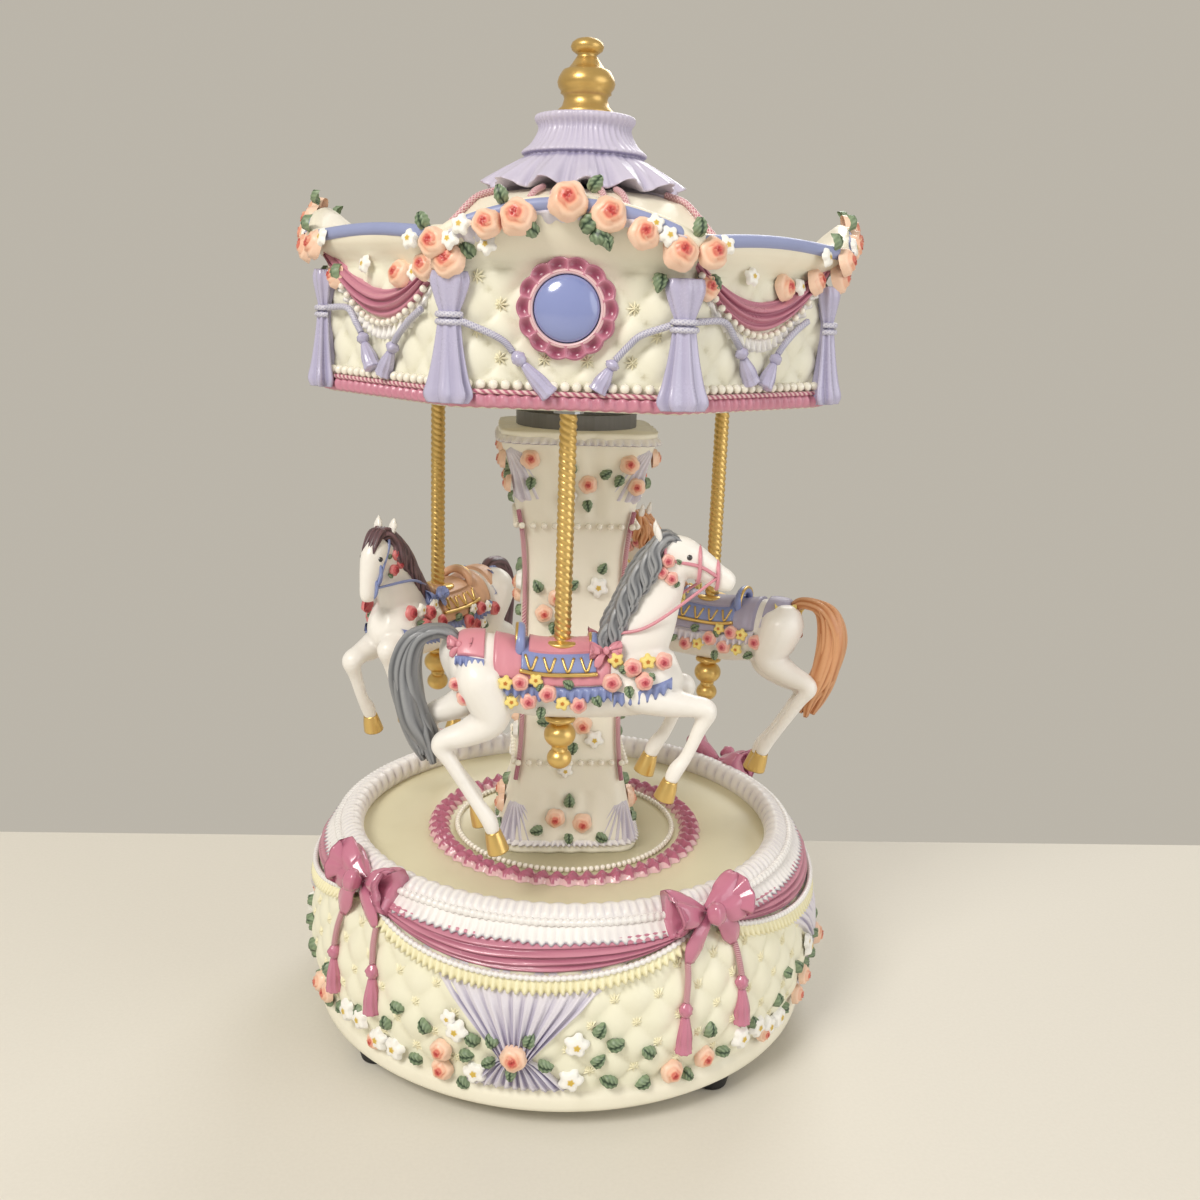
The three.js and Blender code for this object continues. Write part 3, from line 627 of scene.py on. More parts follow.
def placed(verts, azimuth, radius, z, tilt=0.0, turn=0.0):
    """Moves points made about the origin, facing the front, to their place on the object."""
    lean = Matrix.Rotation(math.radians(tilt), 4, "X") @ Matrix.Rotation(math.radians(turn), 4, "Y")
    swing = Matrix.Rotation(math.radians(azimuth), 4, "Z")
    move = Matrix.Translation(at(azimuth, radius, z)) @ swing @ lean
    for vert in verts:
        vert.co = move @ vert.co


def bow_loop(bm, side, reach=13.5, phase=0.0):
    """A puffed loop from the knot out to a mouth that opens outwards, with folds running along it."""
    def shape(s, t):
        angle = 2 * math.pi * s
        if t < 0.72:
            u = t / 0.72
            out = reach * u
            open_up = 1.6 + 5.2 * math.sin(u * math.pi * 0.56) ** 1.1
            deep = 1.4 + 3.3 * math.sin(u * math.pi * 0.62)
        else:
            u = (t - 0.72) / 0.28
            out = reach * (1 - 0.55 * u) + 0.9 * math.sin(math.pi * u)
            open_up = 6.7 * (1 - u) ** 0.7 * 0.86
            deep = 4.5 * (1 - u) ** 0.8 * 0.8
        crumple = 1 + 0.13 * math.cos(3 * angle + phase + 1.5 * t)
        crumple += 0.07 * math.cos(7 * angle + 4 * t + 2 * phase)
        x = out + 0.6 * math.cos(2 * angle + phase) * (t > 0.3)
        z = open_up * crumple * math.sin(angle) + 0.16 * out
        y = deep * crumple * math.cos(angle) - 0.32 * out * (t >= 0.72)
        return Vector((side * x, y, z))
    return wrap(bm, 40, 30, shape)


def ribbon_tail(bm, side, drop, spread):
    points = [(0, -1.5, 0, 1.4), (side * spread * 0.45, -2.6, -drop * 0.3, 2.3),
              (side * spread * 0.8, -1.6, -drop * 0.66, 3.0), (side * spread, -0.3, -drop, 1.5)]
    crease = lambda angle, t: 1 + 0.22 * math.cos(4 * angle) * t
    return rod(bm, points, 14, 16, crease, flat=0.36, side=(1, 0, 0.2))


def twist(lobes, turns, depth=0.24):
    """Section of a twisted rope; its grooves are 0 and its strands 1 in paint tone."""
    def phase(angle, t):
        return abs(math.sin(lobes * 0.5 * (angle + 2 * math.pi * turns * t)))
    return (lambda angle, t: 1 - depth + depth * phase(angle, t)), (lambda angle, t: phase(angle, t))


def tassel(bm, top, tip, size, strands=9, collar=1.0):
    """A knotted ball on its neck, then a bundle of strands that swells and ends in a cut edge."""
    top, tip = Vector(top), Vector(tip)
    line = tip - top
    knot = [(*(top + line * t), size * r) for t, r in ((0, 0.25), (0.03, 0.5), (0.12, 0.95 * collar),
                                                        (0.22, 0.85 * collar), (0.3, 0.45))]
    made = rod(bm, knot, 12, 16, lambda angle, t: 1 + 0.16 * math.cos(4 * angle + 9 * t) * math.sin(14 * t))
    skirt_points = [(*(top + line * t), size * r) for t,
                    r in ((0.28, 0.5), (0.36, 0.78), (0.6, 1.2), (0.85, 1.35),
                                                                (0.97, 1.5), (1.0, 1.0))]
    ridges = lambda angle, t: 1 - 0.2 * abs(math.sin(strands * 0.5 * angle + 1.3 * t)) ** 0.5 * min(1,
                                                                                                    4 * t)
    made += rod(bm, skirt_points, 16, strands * 5, ridges)
    return made


magenta_gloss = resin("magenta_gloss", tint("C97C96"), tint("7E3453"), 0.22, reach=2.2, crease_shade_power=1.3, coat=0.7,
                      grain=0.05)
cord_paint = resin("cord_paint", None, tint("8A4A60"), 0.38, reach=0.8, crease_shade_power=0.8,
                   stops=[(0.25, tint("B25A77")), (0.75, tint("EBCDCB"))])
bows, cords, tassels = blank(), blank(), blank()
for count, azimuth in enumerate(BOWS):
    loops = bow_loop(bows, 1, 12.5, 0.7 + count) + bow_loop(bows, -1, 12.5, 2.1 + count)
    loops += ribbon_tail(bows, -1, 12.5, 7.6) + ribbon_tail(bows, 1, 10.5, 8.8)
    knot = [(0, -4.6, 3.2, 0.6), (0, -5.4, 1.5, 2.5), (0, -5.4, -1.5, 2.3), (0, -4.6, -3, 0.6)]
    loops += rod(bows, knot, 12, 18, lambda angle, t: 1 + 0.12 * math.cos(5 * angle))
    placed(loops, azimuth, 76.2, 61.0, tilt=-18)
    for drift, high, low in ((-5.6, 50.5, 38.5), (6.4, 52.5, 41.0)):
        top, neck, tip = (at(azimuth + drift * k, skirt(z) + lift, z) for k, z, lift in
                          ((1.0, high, 1.6), (1.16, low, 1.4), (1.2, low - 15.5, 1.2)))
        middle = top.lerp(neck, 0.5) + at(azimuth, 0.5, 0)
        section, tone = twist(4, 5)
        rod(cords, [(*top, 1.0), (*middle, 1.0), (*neck, 1.0)], 60, 12, section, tone=tone)
        tassel(tassels, neck, tip, 2.0)
finished(bows, "bows", magenta_gloss, "base", ["bow_1", "bow_2", "bow_3", "bow_4"])
finished(cords, "bow_cords", cord_paint, "base")
finished(tassels, "bow_tassels", magenta_gloss, "base")

# ---- Flowers ----------------------------------------------------------------------------------
# Roses, leaves and small flowers are hand-painted resin, set on in clusters: peach roses with red
# hearts, dark-green leaves with pale edges, and five-petalled white flowers with yellow eyes.


def rose(bm):
    def shape(s, t):
        angle = 2 * math.pi * s
        petals = 1 - 0.13 * (1 - abs(math.cos(2.5 * angle + 0.6))) - 0.05 * math.sin(angle)
        wind = (3.1 * t ** 0.8 - s + 0.25 * math.sin(2 * angle)) % 1.0
        inner = min(1.0, t / 0.18)
        height = 0.62 * (1 - t ** 1.9) + 0.17 * (wind - 0.5) * inner * (1 - t ** 6)
        if t < 0.12:
            height -= 0.14 * (1 - t / 0.12)
        if t == 1.0:
            height = -0.3
        tone = min(1.0, max(0.0, t * 1.25 - 0.02) + 0.3 * (wind - 0.5) * (t > 0.1))
        reach = t * petals * (1 + 0.07 * wind)
        return Vector((reach * math.cos(angle), reach * math.sin(angle), height, tone))
    wrap(bm, 20, 9, shape)


def leaf(bm):
    def shape(s, t):
        side = 2 * s - 1
        notch = 1 + 0.16 * (round(t * 8) % 2)
        wide = 0.36 * math.sin(math.pi * min(t * 0.9 + 0.08, 1.0) ** 0.8) ** 0.85 * notch
        vein = abs(math.sin(math.pi * (4.0 * t - 1.3 * abs(side))))
        height = 0.2 * math.sin(math.pi * t) - 0.3 * side * side * 0.4 + 0.07 * vein + 0.1 * abs(side)
        if abs(side) > 0.99 or t in (0.0, 1.0):
            height -= 0.32
        tone = 0.15 if abs(side) < 0.1 else 0.35 + 0.65 * vein
        return Vector((wide * side, t - 0.1, height, tone))
    wrap(bm, 6, 8, shape)


def daisy(bm):
    def shape(s, t):
        angle = 2 * math.pi * s
        reach = t * (0.48 + 0.52 * abs(math.cos(2.5 * angle)) ** 0.6)
        height = 0.2 + 0.16 * math.sin(math.pi * t) + (0.16 if t < 0.2 else 0.0)
        if t == 1.0:
            height = -0.1
        return Vector((reach * math.cos(angle), reach * math.sin(angle), height,
                       min(1.0, max(0.0, t * 3 - 0.5))))
    wrap(bm, 25, 5, shape)


rose_shape, leaf_shape, daisy_shape = model(rose), model(leaf), model(daisy)
peach_paint = resin("peach_paint", None, tint("B4604F"), 0.4, reach=1.0, crease_shade_power=0.9, coat=0.1,
                    stops=[(0.1, tint("C42B35")), (0.34, tint("E58270")), (0.6, tint("F6BE9F")),
                           (0.95, tint("F9D5BC"))])
leaf_paint = resin("leaf_paint", None, tint("232F24"), 0.42, reach=0.8, crease_shade_power=0.9,
                   stops=[(0.2, tint("27402C")), (0.95, tint("93A886"))])
white_paint = resin("white_paint", None, tint("A9A9B4"), 0.36, reach=0.9, crease_shade_power=1.0,
                    stops=[(0.1, tint("E3BE2C")), (0.5, tint("FBFAF5"))])


class Garland:
    """Roses, leaves and white flowers that are set on one body, each kind a piece of its own."""

    def __init__(self, name, body, paints=(peach_paint, leaf_paint, white_paint)):
        self.name = name
        self.paints = paints
        self.body = body
        self.roses, self.leaves, self.daisies = blank(), blank(), blank()

    def rose(self, place, facing, size, turn=0.0):
        stamp(self.roses, rose_shape, place, facing, size, turn)

    def leaf(self, place, facing, size, turn=0.0):
        stamp(self.leaves, leaf_shape, place, facing, size, turn)

    def daisy(self, place, facing, size, turn=0.0):
        stamp(self.daisies, daisy_shape, place, facing, size, turn)

    def set(self):
        petals, green, small = self.paints
        made = ((self.roses, "roses", petals, "magenta_resin"),
                (self.leaves, "leaves", green, "lavender_resin"),
                (self.daisies, "daisies", small, "white_resin"))
        for bm, kind, material, slot in made:
            if bm.verts:
                finished(bm, f"{self.name}_{kind}", material, self.body)


# Places from the middle of a curtain: degrees round, height, size, and turn of a leaf.
BASE_ROSES = [(0, 26, 3.9), (-15, 23, 3.3), (-15.3, 16, 3.4), (31.5, 16.6, 3.5), (38.6, 18.8, 3.3),
              (-33, 15.5, 2.8)]
BASE_LEAVES = [(-3.6, 28.5, 4.6, 40), (2.4, 29.5, 4.8, -20), (4.8, 24, 4.6, -100), (-0.6, 21.5, 4.2, 180),
               (-4, 23.5, 4.2, 110), (-18, 27, 5, 35), (-11, 22.5, 5, -80), (-12, 13.4, 4.6, -120),
               (-20.5, 15.5, 5, 80), (-7.4, 27.5, 5, 60), (15.5, 32, 5, -30), (18, 28.5, 5.2, -75),
               (15, 23, 5, -50), (17.2, 17.5, 5.4, -110), (27, 24, 5.2, 50), (27, 14.8, 5, 110),
               (39.5, 25.4, 5.2, -5), (43, 17.8, 4.8, -100), (35, 14.6, 4.6, -140), (-28.5, 22.5, 5, 10),
               (-37, 20.5, 5, 20), (-24.5, 30.5, 4.6, 60)]
BASE_DAISIES = [(-11.6, 30.5, 3.7), (-8, 18, 3.9), (11.7, 29.8, 3.8), (10.8, 18.2, 3.9), (-31.5, 17, 3.8),
                (-26.8, 16.8, 3.8), (-13.4, 33.6, 2.6), (48.4, 20, 3.8), (53.4, 20.6, 3.6)]


def base_flowers():
    garland = Garland("base", "base")
    for middle, half in SWAGS:
        for step, z, size in BASE_ROSES:
            azimuth = middle + step
            garland.rose(at(azimuth, skirt(z) + 2.0 + (1.2 if step == 0 else 0), z), at(azimuth, 1, 0.05),
                         size,
                         40 * step + middle)
        for step, z, size, turn in BASE_LEAVES:
            azimuth = middle + step
            garland.leaf(at(azimuth, skirt(z) + (2.4 if abs(step) < 6 else 1.1), z), at(azimuth, 1, 0.06),
                         size, turn)
        for step, z, size in BASE_DAISIES:
            azimuth = middle + step
            garland.daisy(at(azimuth, skirt(z) + 1.3, z), at(azimuth, 1, 0.05), size, 13 * step)
    garland.set()


base_flowers()

# ---- Platform ribbon and pearls ---------------------------------------------------------------
# A ruched magenta ribbon with pale zigzag edges is laid round the column, and a ring of cast
# pearls inside it.
RIBBON_RADIUS = (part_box("platform_ribbon")[1].x / MM) - 3.0
PEARL_RADIUS = (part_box("platform_pearls")[1].x / MM) - 0.9
RUCHES = 56
PEARL_COUNT = 120


def ruched_ribbon():
    bm = blank()

    def shape(s, t):
        x = 2 * t - 1
        gather = math.sin(2 * math.pi * RUCHES * (s + 0.0035 * x))
        edge = 3.1 + 0.55 * math.sin(2 * math.pi * RUCHES * s + (1.2 if x > 0 else -0.9))
        puff = (1 - x ** 4) * (1.9 + 0.75 * gather + 0.3 * math.sin(9 * x + 80 * s))
        z = PLATFORM_Z + (max(puff, 0.35) if abs(x) < 0.99 else 0.05)
        pale = 0.0 if abs(x) < 0.62 + 0.25 * gather else 1.0
        return Vector((*at(360 * s, RIBBON_RADIUS + x * edge, z), pale))

    wrap(bm, RUCHES * 12, 12, shape)
    return finished(bm, "ruched_ribbon", ribbon_paint, "base", ["platform_ribbon"])


def pearl(bm):
    bmesh.ops.create_uvsphere(bm, u_segments=8, v_segments=6, radius=1.0)


def pearl_ring():
    bm = blank()
    for k in range(PEARL_COUNT):
        stamp(bm, pearl_shape, at(360 * k / PEARL_COUNT, PEARL_RADIUS, PLATFORM_Z + 0.85), (0, 0, 1), 0.93)
    return finished(bm, "pearl_ring", pearl_paint, "base", ["platform_pearls"])


ribbon_paint = resin("ribbon_paint", None, tint("6E2B47"), 0.3, reach=1.6, crease_shade_power=1.3, coat=0.3,
                     stops=[(0.35, tint("B5667F")), (0.7, tint("E2B9BE"))])
pearl_paint = resin("pearl_paint", tint("F6F1E4"), tint("B5AC97"), 0.2, reach=1.0, crease_shade_power=1.0, coat=0.6)
pearl_shape = model(pearl)
ruched_ribbon()
pearl_ring()
# ---- Column -----------------------------------------------------------------------------------
# A square cream column stands in the middle, painted resin in one casting: drapes and a rope on
# its corners, a pearl row above the foot and below the capital, and flowers on every side.
COLUMN_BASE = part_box("column")[0].z / MM
COLUMN_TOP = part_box("column")[1].z / MM
COLUMN_TURN = 2.0
COLUMN_OUTLINE = [(57.55, 22.2), (60, 22.0), (66, 20.6), (75, 18.4), (83, 17.2), (93, 16.1), (120, 15.8),
                  (151, 16.0),
                  (159, 17.0), (168, 18.6), (178, 20.6), (186, 23.0), (190, 23.6)]


def on_column(side, x, z, lift=0.0):
    """Point x across a side of the column, lifted off it."""
    spot = Vector((x, -eased(COLUMN_OUTLINE, z) - lift, z))
    spot.rotate(Matrix.Rotation(math.radians(90 * side + COLUMN_TURN), 3, "Z"))
    return spot


def facing_side(side, up=0.0):
    return at(90 * side + COLUMN_TURN, 1, up)


def square(angle, corner=0.16):
    """Reach of a rounded square of half width 1 at an angle."""
    c, s = abs(math.cos(angle)), abs(math.sin(angle))
    power = 1 / corner
    return (c ** power + s ** power) ** (-1 / power)


def column_casting():
    bm = blank()
    low, high = COLUMN_BASE, COLUMN_TOP

    def shape(s, t):
        angle = 2 * math.pi * s
        z = low + (high - low) * min(max((t - 0.02) / 0.96, 0.0), 1.0)
        reach = eased(COLUMN_OUTLINE, z) * square(angle)
        folds = 0.28 * math.sin(20 * angle + 1.2 * math.sin(z / 7)) * (0.3 + abs(math.cos(2 * angle)) ** 2)
        if z < 76 or z > 164:
            reach += folds
        if t in (0.0, 1.0):
            reach = 0.0
        return at(math.degrees(angle) + COLUMN_TURN, reach, z)

    wrap(bm, 192, 150, shape)
    return finished(bm, "column_casting", column_paint, "base", ["column"])


def column_ropes():
    bm = blank()
    section, tone = twist(4, 30)
    for side in range(4):
        points = []
        for z in (80, 88, 100, 125, 145, 158, 166):
            spot = on_column(side, eased(COLUMN_OUTLINE, z) * 0.93, z, -0.6)
            points.append((*spot, 0.85))
        rod(bm, points, 240, 8, section, tone=tone)
    return finished(bm, "column_ropes", cord_paint, "base")


def column_fans():
    """Fan drapes spread from a knot on every corner of the foot, and hang below the capital."""
    bm = blank()
    for side in range(4):
        for knot_z, hem_z, spread in ((73, 59.8, 12.5), (185.0, 168, 14.0)):
            def shape(s, t):
                x = 2 * s - 1
                z = knot_z + (hem_z - knot_z) * t
                fold = math.cos(2 * math.pi * 5.5 * x)
                half = eased(COLUMN_OUTLINE, z)
                across = x * (2.5 + spread * t)
                reach = 1.414 * half * 0.93 - 0.62 * abs(across) + 0.5
                reach += 0.9 * fold * t if abs(x) < 0.99 else -1.0
                if t in (0.0, 1.0):
                    reach -= 1.6
                z += 0.5 * fold * t
                turn = 90 * side + 45 + COLUMN_TURN + math.degrees(across / (1.35 * half))
                return at(turn, reach, z)
            wrap(bm, 66, 12, shape)
    return finished(bm, "column_fans", lavender_paint, "base")


def column_frills():
    """A white pleated hem lies round the foot, and a ruffle stands out under the capital's edge."""
    bm = blank()
    for z, half, drop, out, pleats in ((61.6, 22.6, -3.4, 1.6, 84), (188.4, 24.2, -4.2, 1.5, 72)):
        def shape(s, t):
            angle = 2 * math.pi * s
            fold = math.cos(pleats * angle)
            around = 2 * t if t < 0.5 else 2 - 2 * t
            lift = -0.9 + (around * (out + 0.7 * fold) if t < 0.5 else around * (out + 0.7 * fold - 0.7))
            height = z + drop * (t if t < 0.5 else 0.5 + (0.5 - t) * 0.9)
            return at(math.degrees(angle) + COLUMN_TURN, half * square(angle) + lift, height)
        wrap(bm, pleats * 6, 8, shape)
    return finished(bm, "column_frills", frill_paint, "base")


def column_pearls():
    bm = blank()
    for z, half in ((86.0, 17.6), (161.5, 17.9)):
        for side in range(4):
            for k in range(11):
                x = (k - 5) * half / 5.4
                stamp(bm, pearl_shape, on_column(side, x, z, 0.7), facing_side(side), 1.05)
    return finished(bm, "column_pearls", pearl_paint, "base")


# Flowers of a side: place across, height and size; leaves also turn.
COLUMN_ROSES = [(-5.4, 139, 3.0), (-9.2, 134, 2.8), (-3.0, 103, 3.0), (3.6, 98, 3.1), (-4.5, 68.5, 3.2),
                (4.2, 67.0, 3.2), (-14.5, 182, 3.0), (14.6, 181, 3.0), (2.5, 174.5, 2.9), (17.0, 174, 2.7)]
COLUMN_LEAVES = [(-1.8, 142, 4.2, -50), (-10.5, 141, 4.4, 30), (-6, 131, 4.2, 170), (7.5, 147, 4.0, -30),
                 (-7, 99, 4.2, 90), (7.5, 103, 4.2, -50), (1, 92, 4.4, 170), (0, 72, 4.6, 0),
                 (-8.6, 65, 4.4, 100),
                 (8.8, 63, 4.4, -110), (0, 63.5, 4.0, 180), (-1.5, 178, 4.2, 40), (6.5, 177, 4.2, -60),
                 (2.5, 169.5, 4.0, 190), (-14, 176, 4.0, 170), (12.5, 177, 4.0, 150)]
COLUMN_DAISIES = [(7.0, 142.5, 3.4), (-8.0, 106.5, 3.2), (7.4, 93.5, 3.2), (-1.5, 83.5, 2.6),
                  (-3, 170.5, 2.8)]


def column_flowers():
    garland = Garland("column", "base")
    for side in range(4):
        out = facing_side(side, 0.05)
        for x, z, size in COLUMN_ROSES:
            garland.rose(on_column(side, x, z, 1.1), out, size, 50 * x + 90 * side)
        for x, z, size, turn in COLUMN_LEAVES:
            garland.leaf(on_column(side, x, z, 0.7), out, size, turn)
        for x, z, size in COLUMN_DAISIES:
            garland.daisy(on_column(side, x, z, 0.7), out, size, 17 * x)
    garland.set()


column_paint = resin("column_paint", tint("F6F2E3"), tint("C6BC98"), 0.4, reach=1.8, crease_shade_power=1.0, coat=0.1)
column_casting()
column_ropes()
column_fans()
column_frills()
column_pearls()
column_flowers()

# ---- Canopy casting ---------------------------------------------------------------------------
# The eight-sided canopy is one cream casting: quilted walls with star tufts, a flared cornice that
# rises in an arch over each medallion, and a smooth roof behind it. It turns with the horses.
CANOPY_TURN = -4.3
WALL_FLAT = 68.8
WALL_Z = 200.0
MEDALLION_Z = 225.0
SHAFT_HOLE = (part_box("drive_shaft")[1].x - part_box("drive_shaft")[0].x) / (2 * MM) + 0.15
PANELS = [CANOPY_TURN + 90 * k for k in range(4)]
CANOPY_CORNERS = [CANOPY_TURN + 22.5 + 45 * k for k in range(8)]


def octagon(azimuth, flat):
    """Radius at an azimuth of the octagon whose sides stand at radius flat."""
    off = (azimuth - CANOPY_TURN + 22.5) % 45 - 22.5
    return flat / math.cos(math.radians(off))


def crest(azimuth):
    """Rise of the arch over the nearest medallion, from 0 at its ends to 1."""
    off = (azimuth - CANOPY_TURN + 45) % 90 - 45
    return max(0.0, math.cos(math.radians(4 * off))) ** 0.8 if abs(off) < 22.5 else 0.0


def canopy_casting():
    bm = blank()
    wall = [(WALL_FLAT, WALL_Z + i, 0) for i in range(35)]
    cornice = [(69.4, 235.6, 0), (71.2, 237.4, 0.1), (73.0, 239.4, 0.4), (74.0, 241.6, 0.9),
               (73.4, 243.4, 1.0),
               (71.8, 243.8, 1.0), (70.0, 243.2, 0.8), (67.6, 242.8, 0.2), (63.8, 242.6, 0)]
    roof = [(54, 239.8, 0), (46, 238.8, 0), (42.6, 240.2, 0), (36, 247.2, 0), (29.5, 254.2, 0),
            (22, 257.0, 0),
            (11, 257.6, 0)]
    under = [(SHAFT_HOLE, 257.6, 0), (SHAFT_HOLE, 253, 0), (18, 248, 0), (41, 233.2, 0), (62.3, 233.2, 0),
             (62.3, WALL_Z, 0), (WALL_FLAT, WALL_Z, 0)]
    outline = wall + cornice + roof + under

    def shape(s, t):
        flat, z, lean = outline[round(t * (len(outline) - 1))]
        azimuth = 360 * s + CANOPY_TURN
        rise = crest(azimuth) * lean
        if flat == WALL_FLAT and 206 < z < 234:
            across = (azimuth - CANOPY_TURN) * 40 / 360
            up = (z - 206) / 13.0
            puff = abs(math.sin(math.pi * (across + up)) * math.sin(math.pi * (across - up))) ** 0.5
            flat += puff * 1.5 - 0.7
        round_off = 1.0 if flat > 30 else flat / 30
        radius = flat + (octagon(azimuth, flat) - flat) * round_off
        return at(azimuth, radius + 3.6 * rise, z + 7.4 * rise)

    wrap(bm, 384, len(outline) - 1, shape)
    return finished(bm, "canopy_casting", canopy_paint, "carousel", ["canopy_shell"])


def canopy_ground(place):
    """Pale cream-green quilting on the walls and smooth cream on the roof."""
    height = place.node("SeparateXYZ", {0: place}, 2)
    return height.kept(0.2360, 0.2395).mix(tint("F1EFDD"), tint("F3ECD9"))


def canopy_tufts():
    bm = blank()
    star = model(star_tuft)
    for row, z in enumerate((212.5, 219, 225.5, 232)):
        for k in range(40):
            azimuth = CANOPY_TURN + (k + ((row + 1) % 2) / 2) * 9
            off = (azimuth - CANOPY_TURN + 45) % 90 - 45
            if abs(off) < 20 and math.hypot(off * 1.2, z - MEDALLION_Z) > 13:
                stamp(bm, star, at(azimuth, octagon(azimuth, WALL_FLAT) - 0.1, z), at(azimuth, 1, 0), 1.05)
    return finished(bm, "canopy_tufts", tuft_paint, "carousel")


def periwinkle_roll():
    """A smooth matte roll lies along the cornice and follows the arches' outer backs."""
    bm = blank()

    def shape(s, t):
        azimuth = 360 * s + CANOPY_TURN
        angle = 2 * math.pi * t
        off = (azimuth - CANOPY_TURN) % 45 - 22.5
        rise = crest(azimuth)
        lift = 0.0 if rise else 1.6 * math.cos(math.radians(4 * ((azimuth - CANOPY_TURN) % 90 - 45)))
        radius = octagon(azimuth, 73.2) - 1.2 * (abs(off) < 2) + 3.2 * rise
        return at(azimuth, radius + 1.55 * math.cos(angle),
                  241.4 + lift + 7.6 * rise + 1.7 * math.sin(angle))

    wrap(bm, 384, 12, shape)
    return finished(bm, "periwinkle_roll", periwinkle_paint, "carousel")


def arch_ruffle():
    """A crumpled lavender-white ruffle hangs under each arch of roses."""
    bm = blank()
    for middle in PANELS:
        def shape(s, t):
            x = 2 * s - 1
            azimuth = middle + 20.5 * x
            rise = crest(azimuth)
            fold = math.cos(2 * math.pi * (15 * s + 0.3 * math.sin(9 * s)))
            z = 241.5 + 6.4 * rise - (4.4 + 1.3 * math.sin(17 * s)) * t
            puff = math.sin(math.pi * min(t, 0.96)) ** 0.6
            lift = 0.3 + (1.2 + 0.8 * fold + 0.35 * math.sin(41 * s + 5 * t)) * puff
            lift = -1.2 if t in (0.0, 1.0) else lift
            return at(azimuth, octagon(azimuth, 74.3 - 3.4 * t) + 3.4 * rise * (1 - t) + lift,
                      z + 0.4 * fold * t)
        wrap(bm, 150, 9, shape)
    return finished(bm, "arch_ruffle", lavender_paint, "carousel")


canopy_paint = resin("canopy_paint", None, tint("B5AA78"), 0.4, reach=2.6, crease_shade_power=1.5, coat=0.08,
                     ground=canopy_ground)
periwinkle_paint = resin("periwinkle_paint", tint("97A0C9"), tint("525C8C"), 0.42, reach=1.6, crease_shade_power=1.0)
canopy_casting()
canopy_tufts()
periwinkle_roll()
arch_ruffle()

# ---- Canopy swags, corner drapes and band -----------------------------------------------------
# Four panels carry a magenta swag with pearls and a cream ruffle under it. At each corner hangs
# a drape, tied with a doubled rope, that swirls out over the ruched band round the lower edge.


def canopy_swags():
    swags, frills, pearls = blank(), blank(), blank()
    for middle in (panel + 45 for panel in PANELS):
        def edge(x, high, low):
            return low + (high - low) * abs(x) ** 2.0

        def cloth(s, t):
            x = 2 * s - 1
            azimuth = middle + 20.5 * x
            top, bottom = edge(x, 238.5, 228.4), edge(x, 236.0, 220.6)
            fold = math.cos(2 * math.pi * (3.4 * t + 0.12 * x))
            fine = math.cos(2 * math.pi * (8.5 * t + 0.4 * math.sin(3 * x)))
            lift = 0.4 + (1.8 + 0.8 * fold + 0.2 * fine) * math.sin(math.pi * min(t, 0.97)) ** 0.6
            lift = -1.2 if t in (0.0, 1.0) else lift
            return at(azimuth, octagon(azimuth, WALL_FLAT) + lift, top + (bottom - top) * t)

        def ruffle(s, t):
            x = 2 * s - 1
            azimuth = middle + 20.0 * x
            fold = math.cos(2 * math.pi * 22 * s)
            z = edge(x, 235.4, 219.4) - 4.2 * t * (1 - 0.4 * x * x) - 0.3 * fold * t
            lift = -1.0 if t in (0.0, 1.0) else 0.5 + (0.9 + 0.8 * fold) * t
            return at(azimuth, octagon(azimuth, WALL_FLAT) + lift, z)

        wrap(swags, 90, 28, cloth)
        wrap(frills, 176, 6, ruffle)
        for i in range(20):
            x = (i + 0.5) / 10 - 1
            azimuth = middle + 20 * x
            spot = at(azimuth, octagon(azimuth, WALL_FLAT) + 1.8, edge(x, 235.6, 219.6))
            stamp(pearls, pearl_shape, spot, at(azimuth, 1, 0), 1.0)
    finished(swags, "canopy_swags", magenta_paint, "carousel")
    finished(frills, "canopy_frills", trim_paint, "carousel")
    finished(pearls, "canopy_swag_pearls", pearl_paint, "carousel")


DRAPE_WIDTH = [(0, 4.6), (0.08, 5.0), (0.22, 3.6), (0.31, 2.6), (0.4, 2.9), (0.6, 3.7), (0.8, 4.9),
               (0.93, 6.0), (1, 5.0)]


def corner_drapes():
    drapes, ties = blank(), blank()
    section, tone = twist(4, 2)
    for azimuth in CANOPY_CORNERS:
        points = []
        for t, width in DRAPE_WIDTH:
            out = octagon(azimuth, WALL_FLAT) + 0.8 + 1.4 * t
            points.append((*at(azimuth, out, 233.0 - 31.8 * t), width))
        ridges = lambda angle, t: 1 + (0.08 + 0.12 * t) * math.cos(7 * angle + 3.2 * t)
        rod(drapes, points, 44, 56, ridges, flat=0.62, side=at(azimuth + 90, 1, 0))
        for z in (222.7, 220.9):
            ring = []
            for k in range(9):
                swing = math.pi * (k / 8 - 0.5)
                spot = at(azimuth, octagon(azimuth, WALL_FLAT) + 0.8 + 2.5 * math.cos(swing), z)
                ring.append((*(spot + at(azimuth + 90, 3.2 * math.sin(swing), 0)), 0.85))
            rod(ties, ring, 48, 10, section, tone=tone)
    finished(drapes, "corner_drapes", satin_paint, "carousel")
    finished(ties, "drape_ties", silver_cord, "carousel")


def ruched_band():
    bm = blank()
    low, high = WALL_Z + 0.1, 204.0

    def shape(s, t):
        azimuth = 360 * s
        gather = math.sin(2 * math.pi * 150 * s + 1.5 * t)
        puff = math.sin(math.pi * t) ** 0.5 * (1.0 + 0.45 * gather)
        flat = 68.4 if t in (0.0, 1.0) else 69.6 + puff
        return at(azimuth, octagon(azimuth, flat), low + (high - low) * t + 0.15 * gather)

    wrap(bm, 1200, 8, shape)
    return finished(bm, "ruched_band", magenta_paint, "carousel", ["canopy_band"])


